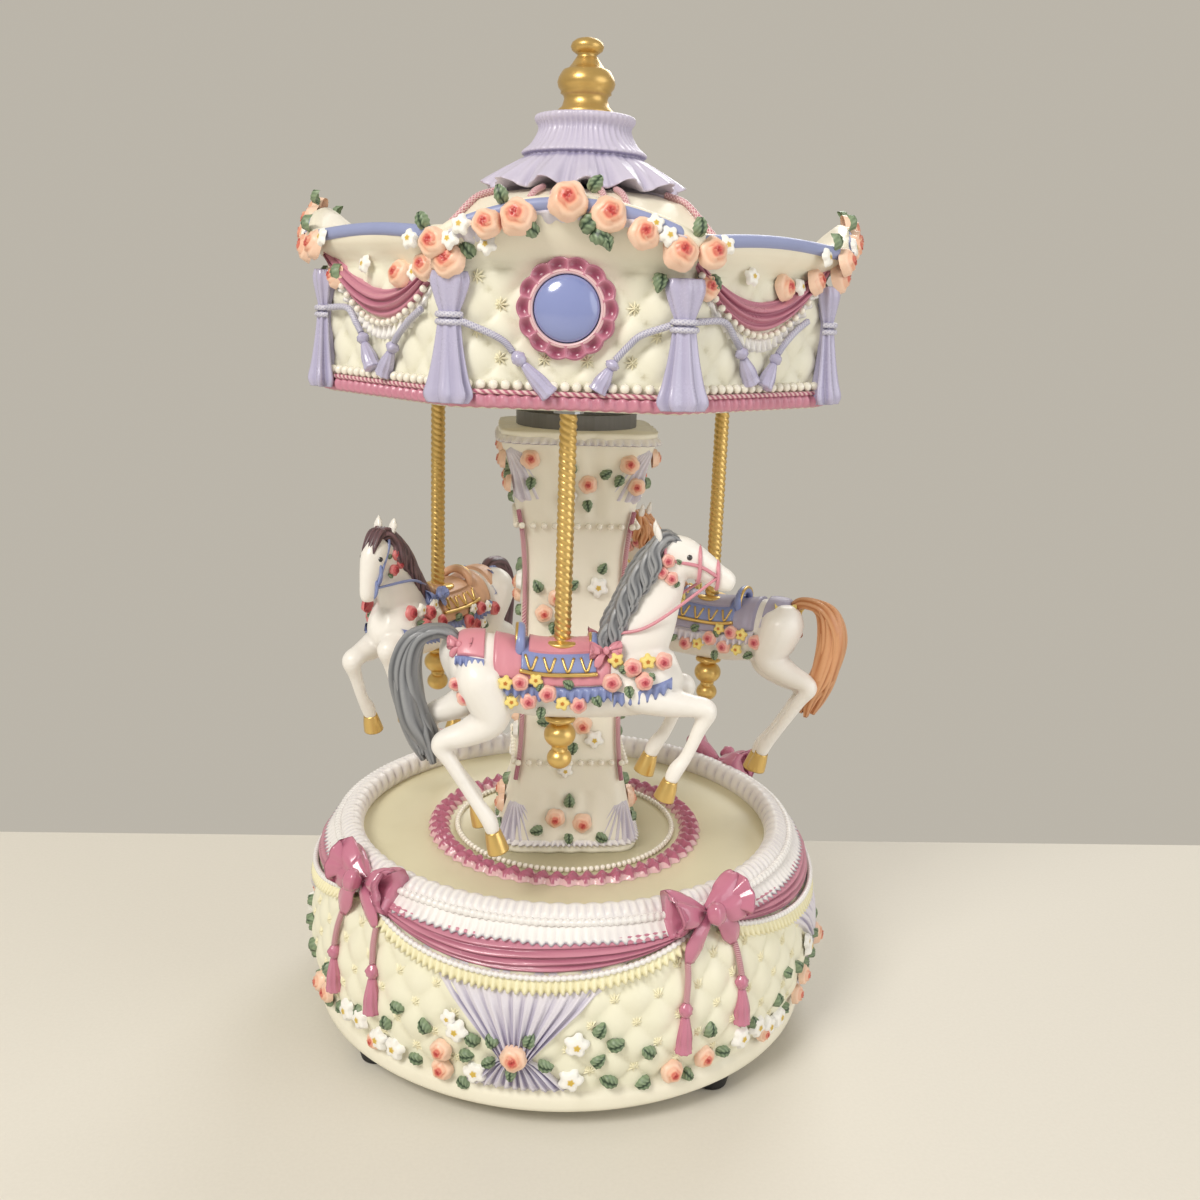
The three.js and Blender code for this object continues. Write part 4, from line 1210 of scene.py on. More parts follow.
def band_rope():
    bm = blank()
    wrap(bm, 1440, 8, lambda s, t: Vector((
        *at(360 * s, octagon(360 * s, 70.2) + 0.62 * math.cos(2 * math.pi * t),
            204.3 + 0.62 * math.sin(2 * math.pi * t)),
        0.5 + 0.5 * math.cos(2 * math.pi * (t * 2 + 240 * s)))))
    return finished(bm, "band_rope", cord_paint, "carousel")


def band_pearls():
    bm = blank()
    for k in range(150):
        azimuth = k * 2.4 + CANOPY_TURN
        stamp(bm, pearl_shape, at(azimuth, octagon(azimuth, 69.8), 206.1), at(azimuth, 1, 0), 1.35)
    return finished(bm, "band_pearls", pearl_paint, "carousel")


satin_paint = resin("satin_paint", tint("BDB9D6"), tint("6F6A94"), 0.26, reach=2.0, crease_shade_power=1.5, coat=0.5,
                    grain=0.06)
# Painted shade: the twist's tone gives this cord's grooves the darker grey and its strands the paler one.
silver_cord = resin("silver_cord", None, tint("77749A"), 0.34, reach=0.8, crease_shade_power=1.0,
                    stops=[(0.2, tint("A5A3C0")), (0.8, tint("DCDBE6"))])
canopy_swags()
corner_drapes()
ruched_band()
band_rope()
band_pearls()

# ---- Medallions -------------------------------------------------------------------------------
# A glossy blue cabochon in a pale ring is set on every second panel, framed by fourteen hollow
# oval scallops in magenta; ropes with tassels are looped beside it from the corner drapes.


def cabochon(bm):
    def shape(s, t):
        angle = 2 * math.pi * s
        lift = 1.0 + 3.6 * math.sqrt(max(0.0, 1 - t * t)) if t < 1 else -0.5
        return Vector((8.5 * t * math.cos(angle), -lift, 8.5 * t * math.sin(angle)))
    return wrap(bm, 48, 14, shape)


def pale_ring(bm):
    def shape(s, t):
        angle, turn = 2 * math.pi * s, 2 * math.pi * t
        reach = 8.9 + 0.65 * math.cos(turn)
        return Vector((reach * math.cos(angle), -1.6 - 0.65 * math.sin(turn), reach * math.sin(angle)))
    return wrap(bm, 64, 8, shape)


def scallops(bm):
    def shape(s, t):
        angle = 2 * math.pi * s
        lobe = abs(math.cos(7 * angle))
        hollow = lobe ** 0.7 * math.sin(math.pi * min(t * 1.05, 1.0)) ** 0.8
        reach = 8.9 + 3.9 * t * (0.8 + 0.2 * lobe)
        lift = -0.8 if t == 1.0 else 2.3 - 1.5 * hollow
        # Painted shade: the hollows take the dark end of the stops and the raised rims the light end.
        tone = 1 - 0.95 * hollow
        return Vector((reach * math.cos(angle), -lift, reach * math.sin(angle), tone))
    return wrap(bm, 196, 9, shape)


def medallions():
    gems, rings, frames = blank(), blank(), blank()
    for azimuth in PANELS:
        for bm, build in ((gems, cabochon), (rings, pale_ring), (frames, scallops)):
            placed(build(bm), azimuth, WALL_FLAT + 0.6, MEDALLION_Z)
    nodes = ["medallion_1", "medallion_2", "medallion_3", "medallion_4"]
    finished(gems, "cabochons", cabochon_paint, "carousel", nodes)
    finished(rings, "medallion_rings", ring_paint, "carousel")
    finished(frames, "medallion_scallops", scallop_paint, "carousel")


# Rope points beside a medallion: degrees from its middle and height; the last two are the tassel.
ROPES = [[(-20.4, 221.4), (-14.8, 218.5), (-12.0, 216.5), (-10.4, 214.2), (-7.9, 210.0), (-2.8, 203.9)],
         [(19.8, 221.9), (14.6, 219.3), (12.1, 216.4), (9.8, 213.1), (8.4, 210.5), (6.4, 205.2)],
         [(25.2, 222.9), (32.5, 223.0), (36.0, 219.1), (37.8, 216.7), (39.2, 214.5), (42.3, 207.5)],
         [(-30.2, 223.7), (-34.2, 220.8), (-37.7, 217.4), (-39.6, 215.0), (-41.2, 212.5), (-43.8, 206.2)]]


def canopy_ropes():
    ropes, tassels = blank(), blank()
    section, tone = twist(4, 5)
    for middle in PANELS:
        for line in ROPES:
            spots = [at(middle + off, octagon(middle + off, WALL_FLAT) + 2.2, z) for off, z in line]
            rod(ropes, [(*spot, 0.95) for spot in spots[:4]], 60, 12, section, tone=tone)
            tassel(tassels, spots[3], spots[5], 1.8)
    finished(ropes, "canopy_ropes", silver_cord, "carousel")
    finished(tassels, "canopy_tassels", satin_paint, "carousel")


cabochon_paint = resin("cabochon_paint", tint("8A96CC"), tint("5866A6"), 0.16, reach=2.0, crease_shade_power=0.7,
                       coat=1.0,
                       grain=0.02)
ring_paint = resin("ring_paint", tint("EBC9CC"), tint("B57F8A"), 0.35, reach=0.8)
scallop_paint = resin("scallop_paint", None, tint("6A2745"), 0.3, reach=1.2, crease_shade_power=1.0, coat=0.3,
                      stops=[(0.1, tint("94415F")), (0.85, tint("D08AA0"))])
medallions()
canopy_ropes()

# ---- Canopy flowers and roof ropes ------------------------------------------------------------
# Roses follow each arch and gather at its ends; pink and white ropes run down from the cap over
# the roof to the corners and on to the arches.
ARCH_ROSES = [(-14, 244, 3.4), (-8.8, 246, 4.1), (0, 250, 4.4), (7.2, 247, 4.1), (13.1, 243, 3.6),
              (19.9, 239.3, 4.1), (26.3, 239.4, 3.8), (-29, 234.3, 3.3), (-21.8, 235.6, 4.1),
              (-23.9, 239.5, 3.6),
              (51.7, 232.2, 3.3), (-4.3 - 58, 231.3, 3.2)]
ARCH_LEAVES = [(-17.9, 237, 5, 40), (-20.3, 231.4, 4.6, 160), (-5.5, 242.4, 5, 60), (2.7, 244, 6.2, -60),
               (4.4, 242.6, 5.6, -110), (17.8, 234, 5, 170), (28.2, 234, 5, -150), (6.5, 242.4, 4.4, -160),
               (-11.4, 249.4, 4.6, 20), (3.9, 252.6, 4.6, -40), (23, 243.4, 4.8, 0), (-26.6, 243, 4.8, 20)]
ARCH_DAISIES = [(-14.6, 239.2, 2.7), (-18.5, 243.6, 2.8), (-20.7, 240.2, 2.7), (-30.3, 240.3, 2.8),
                (17.4, 242.6, 2.8), (15, 245.2, 2.6), (29.3, 241.2, 2.8), (40, 234.4, 2.6),
                (57, 232.5, 2.6)]


def canopy_place(azimuth, z, lift):
    """Point on the wall or, above it, on the flared cornice and its arch."""
    flat = WALL_FLAT + 0.6 + 4.6 * min(max((z - 233) / 7, 0.0), 1.0)
    return at(azimuth, octagon(azimuth, flat) + 3.2 * crest(azimuth) * (z > 242) + lift, z)


def canopy_flowers():
    garland = Garland("canopy", "carousel")
    for middle in PANELS:
        for off, z, size in ARCH_ROSES:
            garland.rose(canopy_place(middle + off, z, 1.4), at(middle + off, 1, 0.25), 1.12 * size,
                         37 * off)
        for off, z, size, turn in ARCH_LEAVES:
            garland.leaf(canopy_place(middle + off, z, 0.9), at(middle + off, 1, 0.2), size, turn)
        for off, z, size in ARCH_DAISIES:
            garland.daisy(canopy_place(middle + off, z, 1.0), at(middle + off, 1, 0.2), size, 11 * off)
    garland.set()


def roof_ropes():
    bm = blank()
    section, tone = twist(4, 7)
    for azimuth in CANOPY_CORNERS + [panel + off for panel in PANELS for off in (-13, 13)]:
        path = ((24, 257.2), (30, 254.8), (36, 248.4), (42.8, 241.2), (47, 239.6))
        points = [(*at(azimuth, octagon(azimuth, reach), z), 0.95) for reach, z in path]
        rod(bm, points, 110, 10, section, tone=tone)
    return finished(bm, "roof_ropes", rose_cord, "carousel")


rose_cord = resin("rose_cord", None, tint("8A4A60"), 0.36, reach=0.8, crease_shade_power=1.0,
                  stops=[(0.3, tint("B3506F")), (0.85, tint("F0D6D4"))])
canopy_flowers()
roof_ropes()

# ---- Cap and finial ---------------------------------------------------------------------------
# A lavender cap, cast as gathered cloth with a wavy flounce, covers the roof's middle. The gold
# finial, a turned bulb, cone and flattened ball, is screwed on top of it.
CAP_OUTLINE = [(7.0, 278.8), (13.4, 278.9), (14.6, 277.6), (13.4, 275.0), (15.4, 271.0), (18.2, 268.4),
               (17.2, 267.2),
               (19.0, 266.0), (23.0, 263.4), (27.4, 259.8), (28.0, 258.4), (24.0, 258.8), (17.0, 259.4),
               (9.0, 259.4)]
CAP_WAVES = 13
FINIAL_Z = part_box("finial")[1].z / MM - 21
FINIAL_OUTLINE = [(0, -0.6), (8.0, -0.6), (8.3, 0), (8.4, 0.7), (8.1, 1.3), (6.9, 2.4), (6.3, 4.4),
                  (6.6, 5.4), (7.4, 5.9), (7.3, 6.5),
                  (8.1, 7.6), (8.4, 8.8), (8.0, 10.2), (7.2, 11.6), (6.7, 12.2), (5.3, 12.7), (4.4, 13.8),
                  (3.3, 15.4),
                  (2.7, 16.3), (3.4, 16.8), (4.4, 17.5), (4.8, 18.5), (4.4, 19.6), (3.2, 20.5),
                  (1.6, 20.95), (0, 21)]


def cap():
    bm = blank()
    line = smooth_line([(radius, z, 0) for radius, z in CAP_OUTLINE], 64)

    def shape(s, t):
        spot = line[round(64 * t)]
        angle = 2 * math.pi * s
        low = min(max((268 - spot.y) / 11, 0.0), 1.0)
        wave = math.cos(CAP_WAVES * angle + 0.7 * math.sin(3 * angle))
        pleat = math.cos(4 * CAP_WAVES * angle + 2 * math.sin(5 * angle))
        full = 1.0 if t < 0.8 else (1 - t) / 0.2
        radius = spot.x + (1.9 * wave * low + 0.35 * pleat * (0.5 + low)) * full * (0.3 + 0.7 * min(1.0,
                                                                                                    t * 4))
        return at(math.degrees(angle), radius, spot.y + 1.7 * wave * low ** 2 * full)

    wrap(bm, CAP_WAVES * 32, 64, shape)
    return finished(bm, "cap", cap_paint, "carousel", ["roof_cap"])


cap_paint = resin("cap_paint", tint("CFC9DE"), tint("766F98"), 0.34, reach=2.4, crease_shade_power=1.7, coat=0.15)
finial_paint = resin("finial_paint", tint("D3B06A"), tint("6B4A1C"), 0.34, reach=1.8, crease_shade_power=1.3, coat=0.15,
                     metal=0.75)
cap()
turning("gold_finial", [(radius, FINIAL_Z + z) for radius, z in FINIAL_OUTLINE], (0, 0), finial_paint,
        "carousel",
        ["finial"], steps=64)

# ---- Poles, washers and beads -----------------------------------------------------------------
# Every horse rides on a gold pole with twisted flutes; a gold washer lies on the saddle, another
# under the belly, and a turned bead with a small end bead closes the pole below.
POLE_TWISTS = 20
POLE_RADIUS = 2.4


def gold(name, light, dark, roughness):
    material, shader, start = blank_material(name)
    place = start.node("TexCoord", output=3)
    cloud = start.node("TexNoise", {"Vector": place, "Scale": 260.0, "Detail": 3.0})
    # Painted shade: the occlusion node darkens the gold towards the dark colour in its creases.
    crease = start.node("AmbientOcclusion", {"Distance": 0.0012}, 1, samples=6, only_local=True)
    joined(((crease ** 1.4) * (cloud * 0.3 + 0.85)).mix(tint(dark), tint(light)), shader, "Base Color")
    joined(cloud * 0.22 + (roughness - 0.11), shader, "Roughness")
    bump = cloud.node("Bump", {"Height": cloud, "Strength": 0.12, "Distance": 0.0003})
    joined(bump, shader, "Normal")
    shader.inputs["Metallic"].default_value = 0.85
    return material


def fluted_pole(name, node, body):
    low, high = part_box(node)[0] / MM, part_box(node)[1] / MM
    centre = (low + high) / 2
    bm = blank()
    flutes = lambda angle, t: 1 - 0.17 + 0.17 * abs(math.cos(1.5 * (angle + 2 * math.pi * POLE_TWISTS * t)))
    ends = [(centre.x, centre.y, z, POLE_RADIUS) for z in (low.z, (low.z + high.z) / 2, high.z)]
    rod(bm, ends, 420, 24, flutes)
    return finished(bm, name, gold_paint, body, [node])


def turned(name, node, profile, body):
    """A turned gold part that fills its node's box; profile runs from 0 to 1 in both ways."""
    low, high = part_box(node)[0] / MM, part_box(node)[1] / MM
    radius = (high.x - low.x) / 2
    outline = [(radius * r, low.z + (high.z - low.z) * z) for r, z in profile]
    return turning(name, outline, (low + high) / 2, gold_paint, body, [node])


WASHER = [(0, 0), (0.8, 0), (0.97, 0.22), (1, 0.5), (0.97, 0.78), (0.8, 1), (0, 1)]
BEAD = [(math.sin(math.pi * k / 16), 0.5 - 0.5 * math.cos(math.pi * k / 16)) for k in range(17)]
gold_paint = gold("gold_paint", "E2C078", "7C5A26", 0.33)
for mark in "abc":
    fluted_pole(f"fluted_pole_{mark}", f"pole_{mark}", f"rider_{mark}")
    turned(f"gold_saddle_washer_{mark}", f"saddle_washer_{mark}", WASHER, f"rider_{mark}")
    turned(f"gold_belly_washer_{mark}", f"belly_washer_{mark}", WASHER, f"rider_{mark}")
    turned(f"gold_bead_{mark}", f"bead_{mark}", BEAD, f"rider_{mark}")
    turned(f"gold_end_bead_{mark}", f"end_bead_{mark}", BEAD, f"rider_{mark}")

# ---- Horses -----------------------------------------------------------------------------------
# Three leaping horses of cast resin, white with gold hooves, are pierced by their poles. They
# carry themselves differently, and each has its own mane, saddle, blanket and flowers.
POLE_CIRCLE = 54.0
HORSE_PLACES = {"a": (-4, 0, 135.0), "b": (116, 150, 130.125), "c": (-124, -120, 130.125)}
BARREL = [(-31, -6, 3), (-29, -6, 7.5), (-24, -7, 10), (-16, -8.5, 10.3), (-6, -10.5, 10), (6, -10.5, 10.2),
          (15, -9.5, 10.8), (23, -8, 11), (29, -6.5, 8.6), (32.5, -5, 4)]
BARREL_WIDTH = 0.86
FORELEG = [(17, -5.5, 2.4), (18, -8.5, 5.4), (20.5, -12, 6.0), (30, -14.5, 4.8), (36, -15.4, 3.7),
           (40.5, -16.8, 3.3), (38.6, -22, 2.4), (35.4, -30, 2.1),
           (32.5, -34.5, 2.6), (31, -38, 2.2)]
FORE_HOOF = [(31.2, -37.4, 2.3), (30.4, -40.2, 2.9), (29.5, -43, 3.3)]
HINDLEG = [(-23, -1.5, 2.6), (-23, -4.5, 6.6), (-22, -9, 8.2), (-19, -19, 6.4), (-25, -24, 4.6),
           (-33, -27.4, 3.1), (-30, -33, 2.5), (-24, -43, 2.2),
           (-19.4, -50, 2.7), (-18, -54, 2.3)]
HIND_HOOF = [(-18.2, -53.4, 2.4), (-17.4, -56.4, 3.0), (-16.5, -59.5, 3.4)]
LEG_OUT = 5.0
HIGH = {"neck": [(16, -6, 9.8), (22, 4, 8.4), (25.4, 13, 6.8), (27.6, 21, 5.8), (28, 26, 4.8)],
        "head": [(26.5, 27, 4.2), (31, 26, 5.4), (36, 23.8, 4.6), (41, 20.8, 3.5), (44.6, 18.8, 3.1),
                 (46.6, 18, 2.0)],
        "cheek": (31, 22.6, 4.2), "ear": (25.6, 29.5), "eye": (33.4, 26.0),
        "crest": [(26.4, 31.5), (21, 24), (16.4, 14), (11.5, 2)],
        "bridle": [(36.4, 23.6, 4.7), (41.6, 20.6, 3.6)]}
LEVEL = {"neck": [(16, -6, 9.8), (22, 2, 8.4), (26, 10, 6.8), (28.6, 17, 5.8), (29.5, 21.5, 4.8)],
         "head": [(28, 22, 4.2), (32, 20.8, 5.4), (36.4, 18.4, 4.6), (40.6, 15.8, 3.5), (43.4, 14.2, 3.0),
                  (45, 13.4, 2)],
         "cheek": (32, 17.6, 4.2), "ear": (27, 24.8), "eye": (34, 20.8),
         "crest": [(27.6, 26.4), (22, 20), (17, 11), (11.5, 2)],
         "bridle": [(36.8, 18.2, 4.7), (41, 15.6, 3.6)]}
ARCHED = {"neck": [(16, -6, 9.8), (22, 2, 8.6), (26, 10, 7.0), (29, 16.5, 6.0), (31.5, 19, 5.0)],
          "head": [(30.5, 20, 4.4), (34, 17.2, 5.3), (36, 12.4, 4.6), (37.4, 8, 3.6), (38, 4.8, 3.1),
                   (38.1, 3, 2.1)],
          "cheek": (32.2, 14.6, 4.0), "ear": (29.6, 23.2), "eye": (36.2, 16.6),
          "crest": [(30, 24.6), (24, 19.6), (18, 11), (11.5, 2)],
          "bridle": [(36.2, 12, 4.7), (37.5, 7.6, 3.7)]}
TAIL = [(-28, 0, 2.2), (-33, 3.2, 3.0), (-40, 1, 3.8), (-43, -8, 4.4), (-41, -20, 4.6), (-38, -29, 3.4),
        (-36, -35, 1.2)]


def barrel_at(x):
    """Height of the barrel's middle and its half height at x."""
    return (eased([(x0, z) for x0, z, r in BARREL], x), eased([(x0, r) for x0, z, r in BARREL], x))


def over_barrel(x, angle, lift):
    """Point on the barrel at x, angle degrees from the top towards +Y, lifted off it."""
    middle, reach = barrel_at(x)
    turn = math.radians(angle)
    return Vector((x, (reach * BARREL_WIDTH + lift) * math.sin(turn),
                   middle + (reach + lift) * math.cos(turn)))


def flank(x, z, side, lift):
    """Point on the barrel's side at x and height z."""
    middle, reach = barrel_at(x)
    up = min(max((z - middle) / reach, -0.9), 0.9)
    return over_barrel(x, side * math.degrees(math.acos(up)), lift)


def set_on(bm, mark):
    """Moves a mesh made about the saddle, nose towards +X, to its horse's place on the carousel."""
    azimuth, heading, seat = HORSE_PLACES[mark]
    place = Matrix.Translation(at(azimuth, POLE_CIRCLE, seat)) @ Matrix.Rotation(math.radians(heading), 4,
                                                                                 "Z")
    bmesh.ops.transform(bm, matrix=place, verts=bm.verts)


def limb(bm, points, side, shift, sides=16, flat=0.86):
    line = [(x + shift[0], side * LEG_OUT, z + shift[1], radius) for x, z, radius in points]
    rod(bm, line, 6 * len(points), sides, flat=flat, side=(0, 1, 0.01))


def horse_body(mark, shape, paint):
    bm = blank()
    rod(bm, [(x, 0, z, r) for x, z, r in BARREL], 54, 28, flat=BARREL_WIDTH, side=(0, 0, 1))
    rod(bm, [(x, 0, z, r) for x, z, r in shape["neck"]], 36, 24, flat=0.7, side=(1, 0, 0))
    rod(bm, [(x, 0, z, r) for x, z, r in shape["head"]], 40, 24, flat=0.76, side=(0, 0, 1))
    x, z, r = shape["cheek"]
    rod(bm, [(x - 2.6, 0, z + 1, r * 0.8), (x, 0, z, r), (x + 3, 0, z - 0.6, r * 0.6)], 12, 16, flat=0.9,
        side=(0, 0, 1))
    for side in (-1, 1):
        x, z = shape["ear"]
        ear = [(x, side * 2.3, z, 1.5), (x - 0.8, side * 2.9, z + 3.0, 1.7),
               (x - 1.4, side * 3.1, z + 6.2, 0.3)]
        rod(bm, ear, 12, 12, flat=0.6, side=(0, 1, 0))
        shift = (0, 0) if side < 0 else (-5, 4)
        limb(bm, FORELEG, side, shift)
        limb(bm, HINDLEG, side, shift)
    set_on(bm, mark)
    piece = finished(bm, f"horse_body_{mark}", paint, f"rider_{mark}",
                     [f"horse_{mark}"])
    skin = piece.modifiers.new("skin", "REMESH")
    skin.mode = "VOXEL"
    skin.voxel_size = 0.00065
    skin.use_smooth_shade = True
    soft = piece.modifiers.new("soft", "SMOOTH")
    soft.factor = 0.5
    soft.iterations = 7
    return piece


def hooves(mark):
    bm = blank()
    for side in (-1, 1):
        shift = (0, 0) if side < 0 else (-5, 4)
        limb(bm, FORE_HOOF, side, shift, 18, 0.92)
        limb(bm, HIND_HOOF, side, shift, 18, 0.92)
    set_on(bm, mark)
    return finished(bm, f"hooves_{mark}", gold_paint, f"rider_{mark}")


def eyes(mark, shape):
    bm = blank()
    x, z = shape["eye"]
    for side in (-1, 1):
        stamp(bm, pearl_shape, (x, side * 3.35, z), (0, side, 0), 0.95)
    set_on(bm, mark)
    return finished(bm, f"eyes_{mark}", eye_paint, f"rider_{mark}")


def hair(mark, shape, paint):
    """Mane, forelock and tail: wavy locks with combed ridges, cast on and painted; the paint is lighter on
    the ridges and darker in the grooves between them, which is painted shade.
    """
    bm = blank()
    pick = random.Random(ord(mark))
    combed = lambda angle, t: 1 + 0.2 * math.cos(5 * angle + 4 * t)
    # Painted shade: the tone follows the ridges, so the grooves take the dark colour.
    tone = lambda angle, t: 0.5 + 0.5 * math.cos(5 * angle + 4 * t)
    crest_line = smooth_line([(x, z, 0) for x, z in shape["crest"]], 15)
    for i, spot in enumerate(crest_line):
        for side in (-1, 1):
            sway = pick.uniform(-1.0, 1.0)
            lock = [(spot.x + 3.4, side * 0.6, spot.y - 1.8, 1.2),
                    (spot.x + 0.4, side * 2.0, spot.y - 0.8, 1.9),
                    (spot.x - 1.6 + sway, side * (3.4 + 0.3 * sway), spot.y - 4.4, 1.8),
                    (spot.x - 1.0 + sway, side * (4.6 - 0.4 * sway), spot.y - 8.2, 1.3),
                    (spot.x - 3.0 + sway, side * 4.6, spot.y - 11.2 + sway, 0.25)]
            rod(bm, lock, 20, 15, combed, tone=tone)
    x, z = shape["ear"]
    for side in (-0.9, 0.2, 1.1):
        fringe = [(x, side, z + 1.4, 1.0), (x + 4, side * 1.5, z + 0.8, 1.3),
                  (x + 7.2, side * 1.8, z - 2.4, 0.9),
                  (x + 8.6, side * 2.2, z - 4.6, 0.2)]
        rod(bm, fringe, 16, 12, combed, tone=tone)
    for k in range(9):
        out = 1.9 * math.cos(2.4 * k)
        back = 1.9 * math.sin(2.4 * k)
        lock = []
        for i, (x, z, r) in enumerate(TAIL):
            wave = 0.9 * math.sin(1.7 * i + k)
            spread = min(1.0, i / 3)
            lock.append((x + back * spread + wave * 0.4, out * spread + wave * spread,
                         z + 0.4 * k * (i > 4), 0.46 * r + 0.3))
        rod(bm, lock, 40, 12, combed, tone=tone)
    set_on(bm, mark)
    return finished(bm, f"hair_{mark}", paint, f"rider_{mark}")


def cloth_over(bm, start, end, reach, lift, pleats=0.0):
    """A cloth over the back from x start to end, down to reach degrees on both sides."""
    def shape(s, t):
        angle = reach * (2 * s - 1)
        x = start + (end - start) * t
        edge = s in (0.0, 1.0) or t in (0.0, 1.0)
        fold = pleats * math.cos(1.7 * x) * abs(2 * s - 1)
        return over_barrel(x, angle, -0.8 if edge else lift + fold)
    wrap(bm, 48, 40, shape)


def ruffle_along(bm, start, end, angle, depth, pleats):
    """A pleated ruffle that hangs from a cloth's lower edge on both sides."""
    for side in (-1, 1):
        def shape(s, t):
            x = start + (end - start) * s
            fold = math.cos(2 * math.pi * pleats * s)
            lift = -0.6 if t in (0.0, 1.0) else 0.8 + (0.8 + 0.8 * fold) * t
            return over_barrel(x, side * (angle + depth * t + 1.5 * fold * t), lift)
        wrap(bm, pleats * 8, 6, shape)


def edging(bm, start, end, angle, lift, radius):
    for side in (-1, 1):
        path = [over_barrel(start + (end - start) * i / 10, side * angle, lift) for i in range(11)]
        rod(bm, [(*point, radius) for point in path], 30, 8)


def saddle(mark, seat_paint, panel_paint, blanket_paint, frill):
    body = f"rider_{mark}"
    seat, panel, blanket, ruffles, gilding = blank(), blank(), blank(), blank(), blank()
    cloth_over(blanket, -19, 13.5, 84, 1.0, 0.18)
    cloth_over(panel, -11.5, 9.5, 66, 1.7)
    cloth_over(seat, -9.5, 8.0, 36, 2.5)
    for x, high, wide in ((-11.5, 4.6, 5.6), (8.6, 2.8, 3.8)):
        arc = [(x, wide * math.sin(a), barrel_at(x)[0] + barrel_at(x)[1] + high * math.cos(a) - 0.6, 1.35)
               for a in (-1.9, -1.2, -0.6, 0, 0.6, 1.2, 1.9)]
        rod(panel, arc, 30, 12)
        edge = [(fore - 0.9, across, up + 0.9, 0.5) for fore, across, up, _ in arc]
        rod(gilding, edge, 30, 8)
    edging(gilding, -11.5, 9.5, 66, 1.7, 0.6)
    for k in range(4):
        for side in (-1, 1):
            x = -8.5 + 5 * k
            bar = [(*over_barrel(x + dx, side * angle, 1.9), 0.4) for dx,
                   angle in ((-1.6, 42), (0, 62), (1.6, 42))]
            rod(gilding, bar, 12, 6)
    ruffle_along(ruffles, -19, 13.5, 82, 24, 15)
    ruffle_along(ruffles, -29, -21, 58, 20, 5)
    ruffle_along(ruffles, 14, 30, 92, 22, 7)
    cloth_over(blanket, -28.5, -21, 60, 1.0)
    parts = ((seat, "saddle_seat", seat_paint), (panel, "saddle_panel", panel_paint),
             (blanket, "blanket", blanket_paint),
             (ruffles, "blanket_ruffle", frill), (gilding, "saddle_gilding", gold_paint))
    for bm, name, paint in parts:
        set_on(bm, mark)
        finished(bm, f"{name}_{mark}", paint, body)


def bow_small(bm):
    bow_loop(bm, 1, 12.5, 0.7)
    bow_loop(bm, -1, 12.5, 2.1)
    ribbon_tail(bm, -1, 12.5, 7.6)
    ribbon_tail(bm, 1, 10.5, 8.8)
    rod(bm, [(0, -4.6, 3.2, 0.6), (0, -5.4, 1.5, 2.5), (0, -5.4, -1.5, 2.3), (0, -4.6, -3, 0.6)], 12, 18)
    for vert in bm.verts:
        vert.co = Vector((vert.co.x, vert.co.z, -vert.co.y))


def bridle(mark, shape, paint):
    """Straps round the muzzle and along the cheek, and bows at the withers and the tail's root."""
    bm = blank()
    for x, z, r in shape["bridle"]:
        ring = []
        for k in range(13):
            angle = 2 * math.pi * k / 12
            ring.append((x, (r * 0.76 + 0.25) * math.sin(angle), z + (r + 0.25) * math.cos(angle), 0.55))
        rod(bm, ring, 36, 8)
    (x0, z0, r0), (x1, z1, r1) = shape["bridle"]
    ex, ez = shape["ear"]
    for side in (-1, 1):
        strap = [(x1, side * (r1 * 0.78), z1, 0.5), (x0, side * (r0 * 0.8), z0, 0.5),
                 (ex + 2.4, side * 3.4, ez - 4, 0.55),
                 (ex + 1.0, side * 2.6, ez - 0.4, 0.4)]
        rod(bm, strap, 24, 8)
        reins = [(x1, side * r1 * 0.8, z1, 0.4), (24, side * 6.4, 8, 0.45), (14, side * 4.6, 4.5, 0.45)]
        rod(bm, reins, 24, 8)
        stamp(bm, bow_shape, (11.5, side * 7.2, 0.2), (0.1, side, 0.55), 0.34)
        stamp(bm, bow_shape, (-27.6, side * 4.0, 0.4), (-0.3, side, 0.5), 0.28)
    set_on(bm, mark)
    return finished(bm, f"bridle_{mark}", paint, f"rider_{mark}")


# Flowers along a horse's side, from the saddle: forward, up, size; leaves also turn.
FLANK_ROSES = [(-25.9, -12.1, 1.9), (-22, -13.2, 1.8), (-20.2, -9.6, 1.9), (-11.3, -8.1, 1.8),
               (-8.9, -12.9, 1.8),
               (-3.9, -11, 1.9), (4.7, -13.6, 1.8), (13.3, -7.7, 2.0), (18.8, -4, 2.0), (22.2, -7, 1.9),
               (27.3, -2.6, 1.9),
               (-28.7, -8.8, 1.5)]
FLANK_FLOWERS = [(-24.1, -8.5, 1.7), (-15.2, -8.1, 1.7), (-13.5, -12.9, 1.6), (-7.1, -7.7, 1.6),
                 (0.2, -13.2, 1.7),
                 (14.4, -2.7, 1.8), (22.9, -2.4, 1.8)]
FLANK_LEAVES = [(-18.1, -14, 2.6, 120), (-5.3, -15.1, 2.6, 190), (2.8, -9.2, 2.6, -60),
                (8.9, -11.4, 2.8, 150),
                (17.9, -8.6, 2.7, 170), (24.8, -5.9, 2.6, -100), (-27, -6.6, 2.4, 60),
                (15.8, -5.2, 2.4, 40),
                (-23, -10.8, 2.2, -40), (-6.2, -10.4, 2.2, 20)]


